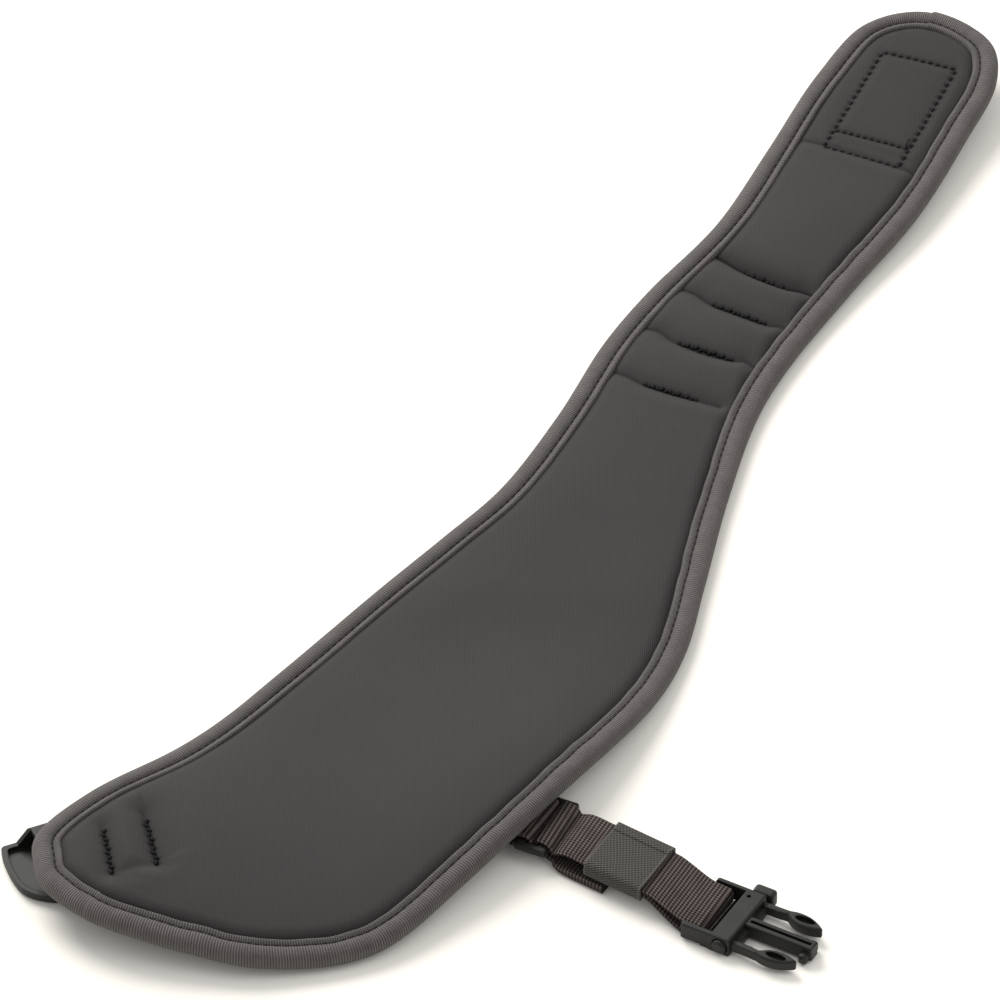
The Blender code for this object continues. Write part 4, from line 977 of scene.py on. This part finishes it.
def plastic_material():
    """Satin moulded plastic with rounded edges and faint handling marks."""
    n = Nodes("satin plastic", 0.38)
    place = n.place()
    grain = n.noise(place, 900.0, 3.0, 0.6)
    marks = n.noise(place, 140.0, 5.0, 0.7)
    colour = n.mix(n.ramp(marks, 0.40, 0.72), PLASTIC_DARK, tuple(1.6 * c for c in PLASTIC_DARK))
    rough = n.add("ShaderNodeMapRange")
    n.link(marks, rough.inputs["Value"])
    rough.inputs["To Min"].default_value = 0.40
    rough.inputs["To Max"].default_value = 0.58
    n.link(rough.outputs[0], n.shader.inputs["Roughness"])
    n.shader.inputs["Specular IOR Level"].default_value = 0.27
    edges = n.add("ShaderNodeBevel", samples=4, Radius=0.0005)
    normal = n.bump(grain, 0.00003, 0.5, edges.outputs[0])
    return n.finish(colour, normal)


def thread_material():
    n = Nodes("black thread", 0.7)
    place = n.place()
    twist = n.wave(place, (0.7, 0.7, 0.3), 0.00035)
    colour = n.mix(n.ramp(twist, -1.0, 1.0), (0.003, 0.0028, 0.0028), (0.009, 0.0085, 0.0085))
    n.shader.inputs["Specular IOR Level"].default_value = 0.12
    return n.finish(colour, n.bump(twist, 0.00005, 0.6))


def dress(node, material):
    piece = NODES[node]
    piece.data.materials.clear()
    piece.data.materials.append(material)


def floor_and_light():
    mesh = bpy.data.meshes.new("floor")
    signs = ((-1, -1), (1, -1), (1, 1), (-1, 1))
    mesh.from_pydata([(a * FLOOR_REACH, b * FLOOR_REACH, 0) for a, b in signs], [], [(0, 1, 2, 3)])
    floor = bpy.data.objects.new("floor", mesh)
    bpy.context.collection.objects.link(floor)
    floor.location.z = -FLOOR_DROP
    n = Nodes("pale floor", 0.9)
    place = n.place()
    tone = n.noise(place, 3.0, 2.0, 0.5)
    n.link(n.mix(tone, (0.72, 0.700, 0.655), (0.69, 0.670, 0.625)), n.shader.inputs["Base Color"])
    n.shader.inputs["Emission Color"].default_value = (1.0, 0.985, 0.94, 1.0)
    # Painted contact shadow: the floor's glow is dimmed by ambient occlusion close to the object
    near = n.add("ShaderNodeAmbientOcclusion", samples=8, Distance=FLOOR_SHADOW_REACH)
    n.link(n.math("MULTIPLY", near.outputs["AO"], FLOOR_GLOW), n.shader.inputs["Emission Strength"])
    n.shader.inputs["Specular IOR Level"].default_value = 0.0
    floor.data.materials.append(n.material)

    world = bpy.data.worlds.new("studio")
    bpy.context.scene.world = world
    world.use_nodes = True
    background = world.node_tree.nodes["Background"]
    background.inputs["Color"].default_value = (1.0, 0.995, 0.985, 1.0)
    background.inputs["Strength"].default_value = 0.50

    right = Vector(RIGHT_WAY)
    ahead = Vector(AWAY_WAY)
    middle = Vector(CAMERA_TARGET + HOME)
    for name, aside, beyond, height, size, power in LAMPS:
        light = bpy.data.lights.new(name, "AREA")
        light.shape = "DISK"
        light.size = size
        light.energy = power
        light.color = (1.0, 0.985, 0.965)
        lamp = bpy.data.objects.new(name, light)
        bpy.context.collection.objects.link(lamp)
        lamp.location = middle + right * aside + ahead * beyond + Vector((0, 0, height))
        lamp.rotation_euler = (middle - lamp.location).to_track_quat("-Z", "Y").to_euler()


def make_camera():
    data = bpy.data.cameras.new("camera")
    data.lens = CAMERA_LENS
    data.sensor_width = SENSOR
    data.clip_start = 0.1
    data.clip_end = 20.0
    camera = bpy.data.objects.new("camera", data)
    bpy.context.collection.objects.link(camera)
    look = Vector((-math.sin(CAMERA_AZIMUTH) * math.cos(CAMERA_ELEVATION),
                   math.cos(CAMERA_AZIMUTH) * math.cos(CAMERA_ELEVATION), -math.sin(CAMERA_ELEVATION)))
    target = Vector((CAMERA_TARGET[0] + HOME[0], CAMERA_TARGET[1] + HOME[1], 0.0))
    camera.location = target - look * CAMERA_DISTANCE
    camera.rotation_euler = look.to_track_quat("-Z", "Y").to_euler()
    bpy.context.scene.camera = camera


make_camera()
floor_and_light()
scene = bpy.context.scene
scene.view_settings.view_transform = "Standard"
scene.view_settings.look = "None"

knit = knit_material()
tape = tape_material()
webbing = webbing_material("webbing", True, (1.0, 0.04, 0.0), (0.0, 1.0, 0.0))
tab = webbing_material("webbing under the pad", False, (-0.857, 0.515, 0.0), (0.515, 0.857, 0.0))
elastic = elastic_material()
plastic = plastic_material()
thread = thread_material()

places = stitch_places()
cover, cover_loop = make_pad(places)
cover.data.materials.append(knit)
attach(cover, ROOT)
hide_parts("pad")

for piece, material, node, slot in (
        (make_binding(), tape, "edge_binding", "binding_tape"),
        (make_strap(), webbing, "strap_webbing", "webbing"),
        (make_anchor(), webbing, "anchor_webbing", "webbing"),
        (make_keeper(), elastic, "elastic_keeper", "elastic")):
    piece.data.materials.append(material)
    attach(piece, ROOT)
    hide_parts(node)

for seams in (make_stitches(cover_loop, places), make_tacks(cover_loop, places)):
    seams.data.materials.append(thread)
    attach(seams, ROOT)

dress("socket_webbing", tab)
for node in ("slider", "prong_buckle", "lock_slide", "buckle_socket"):
    dress(node, plastic)
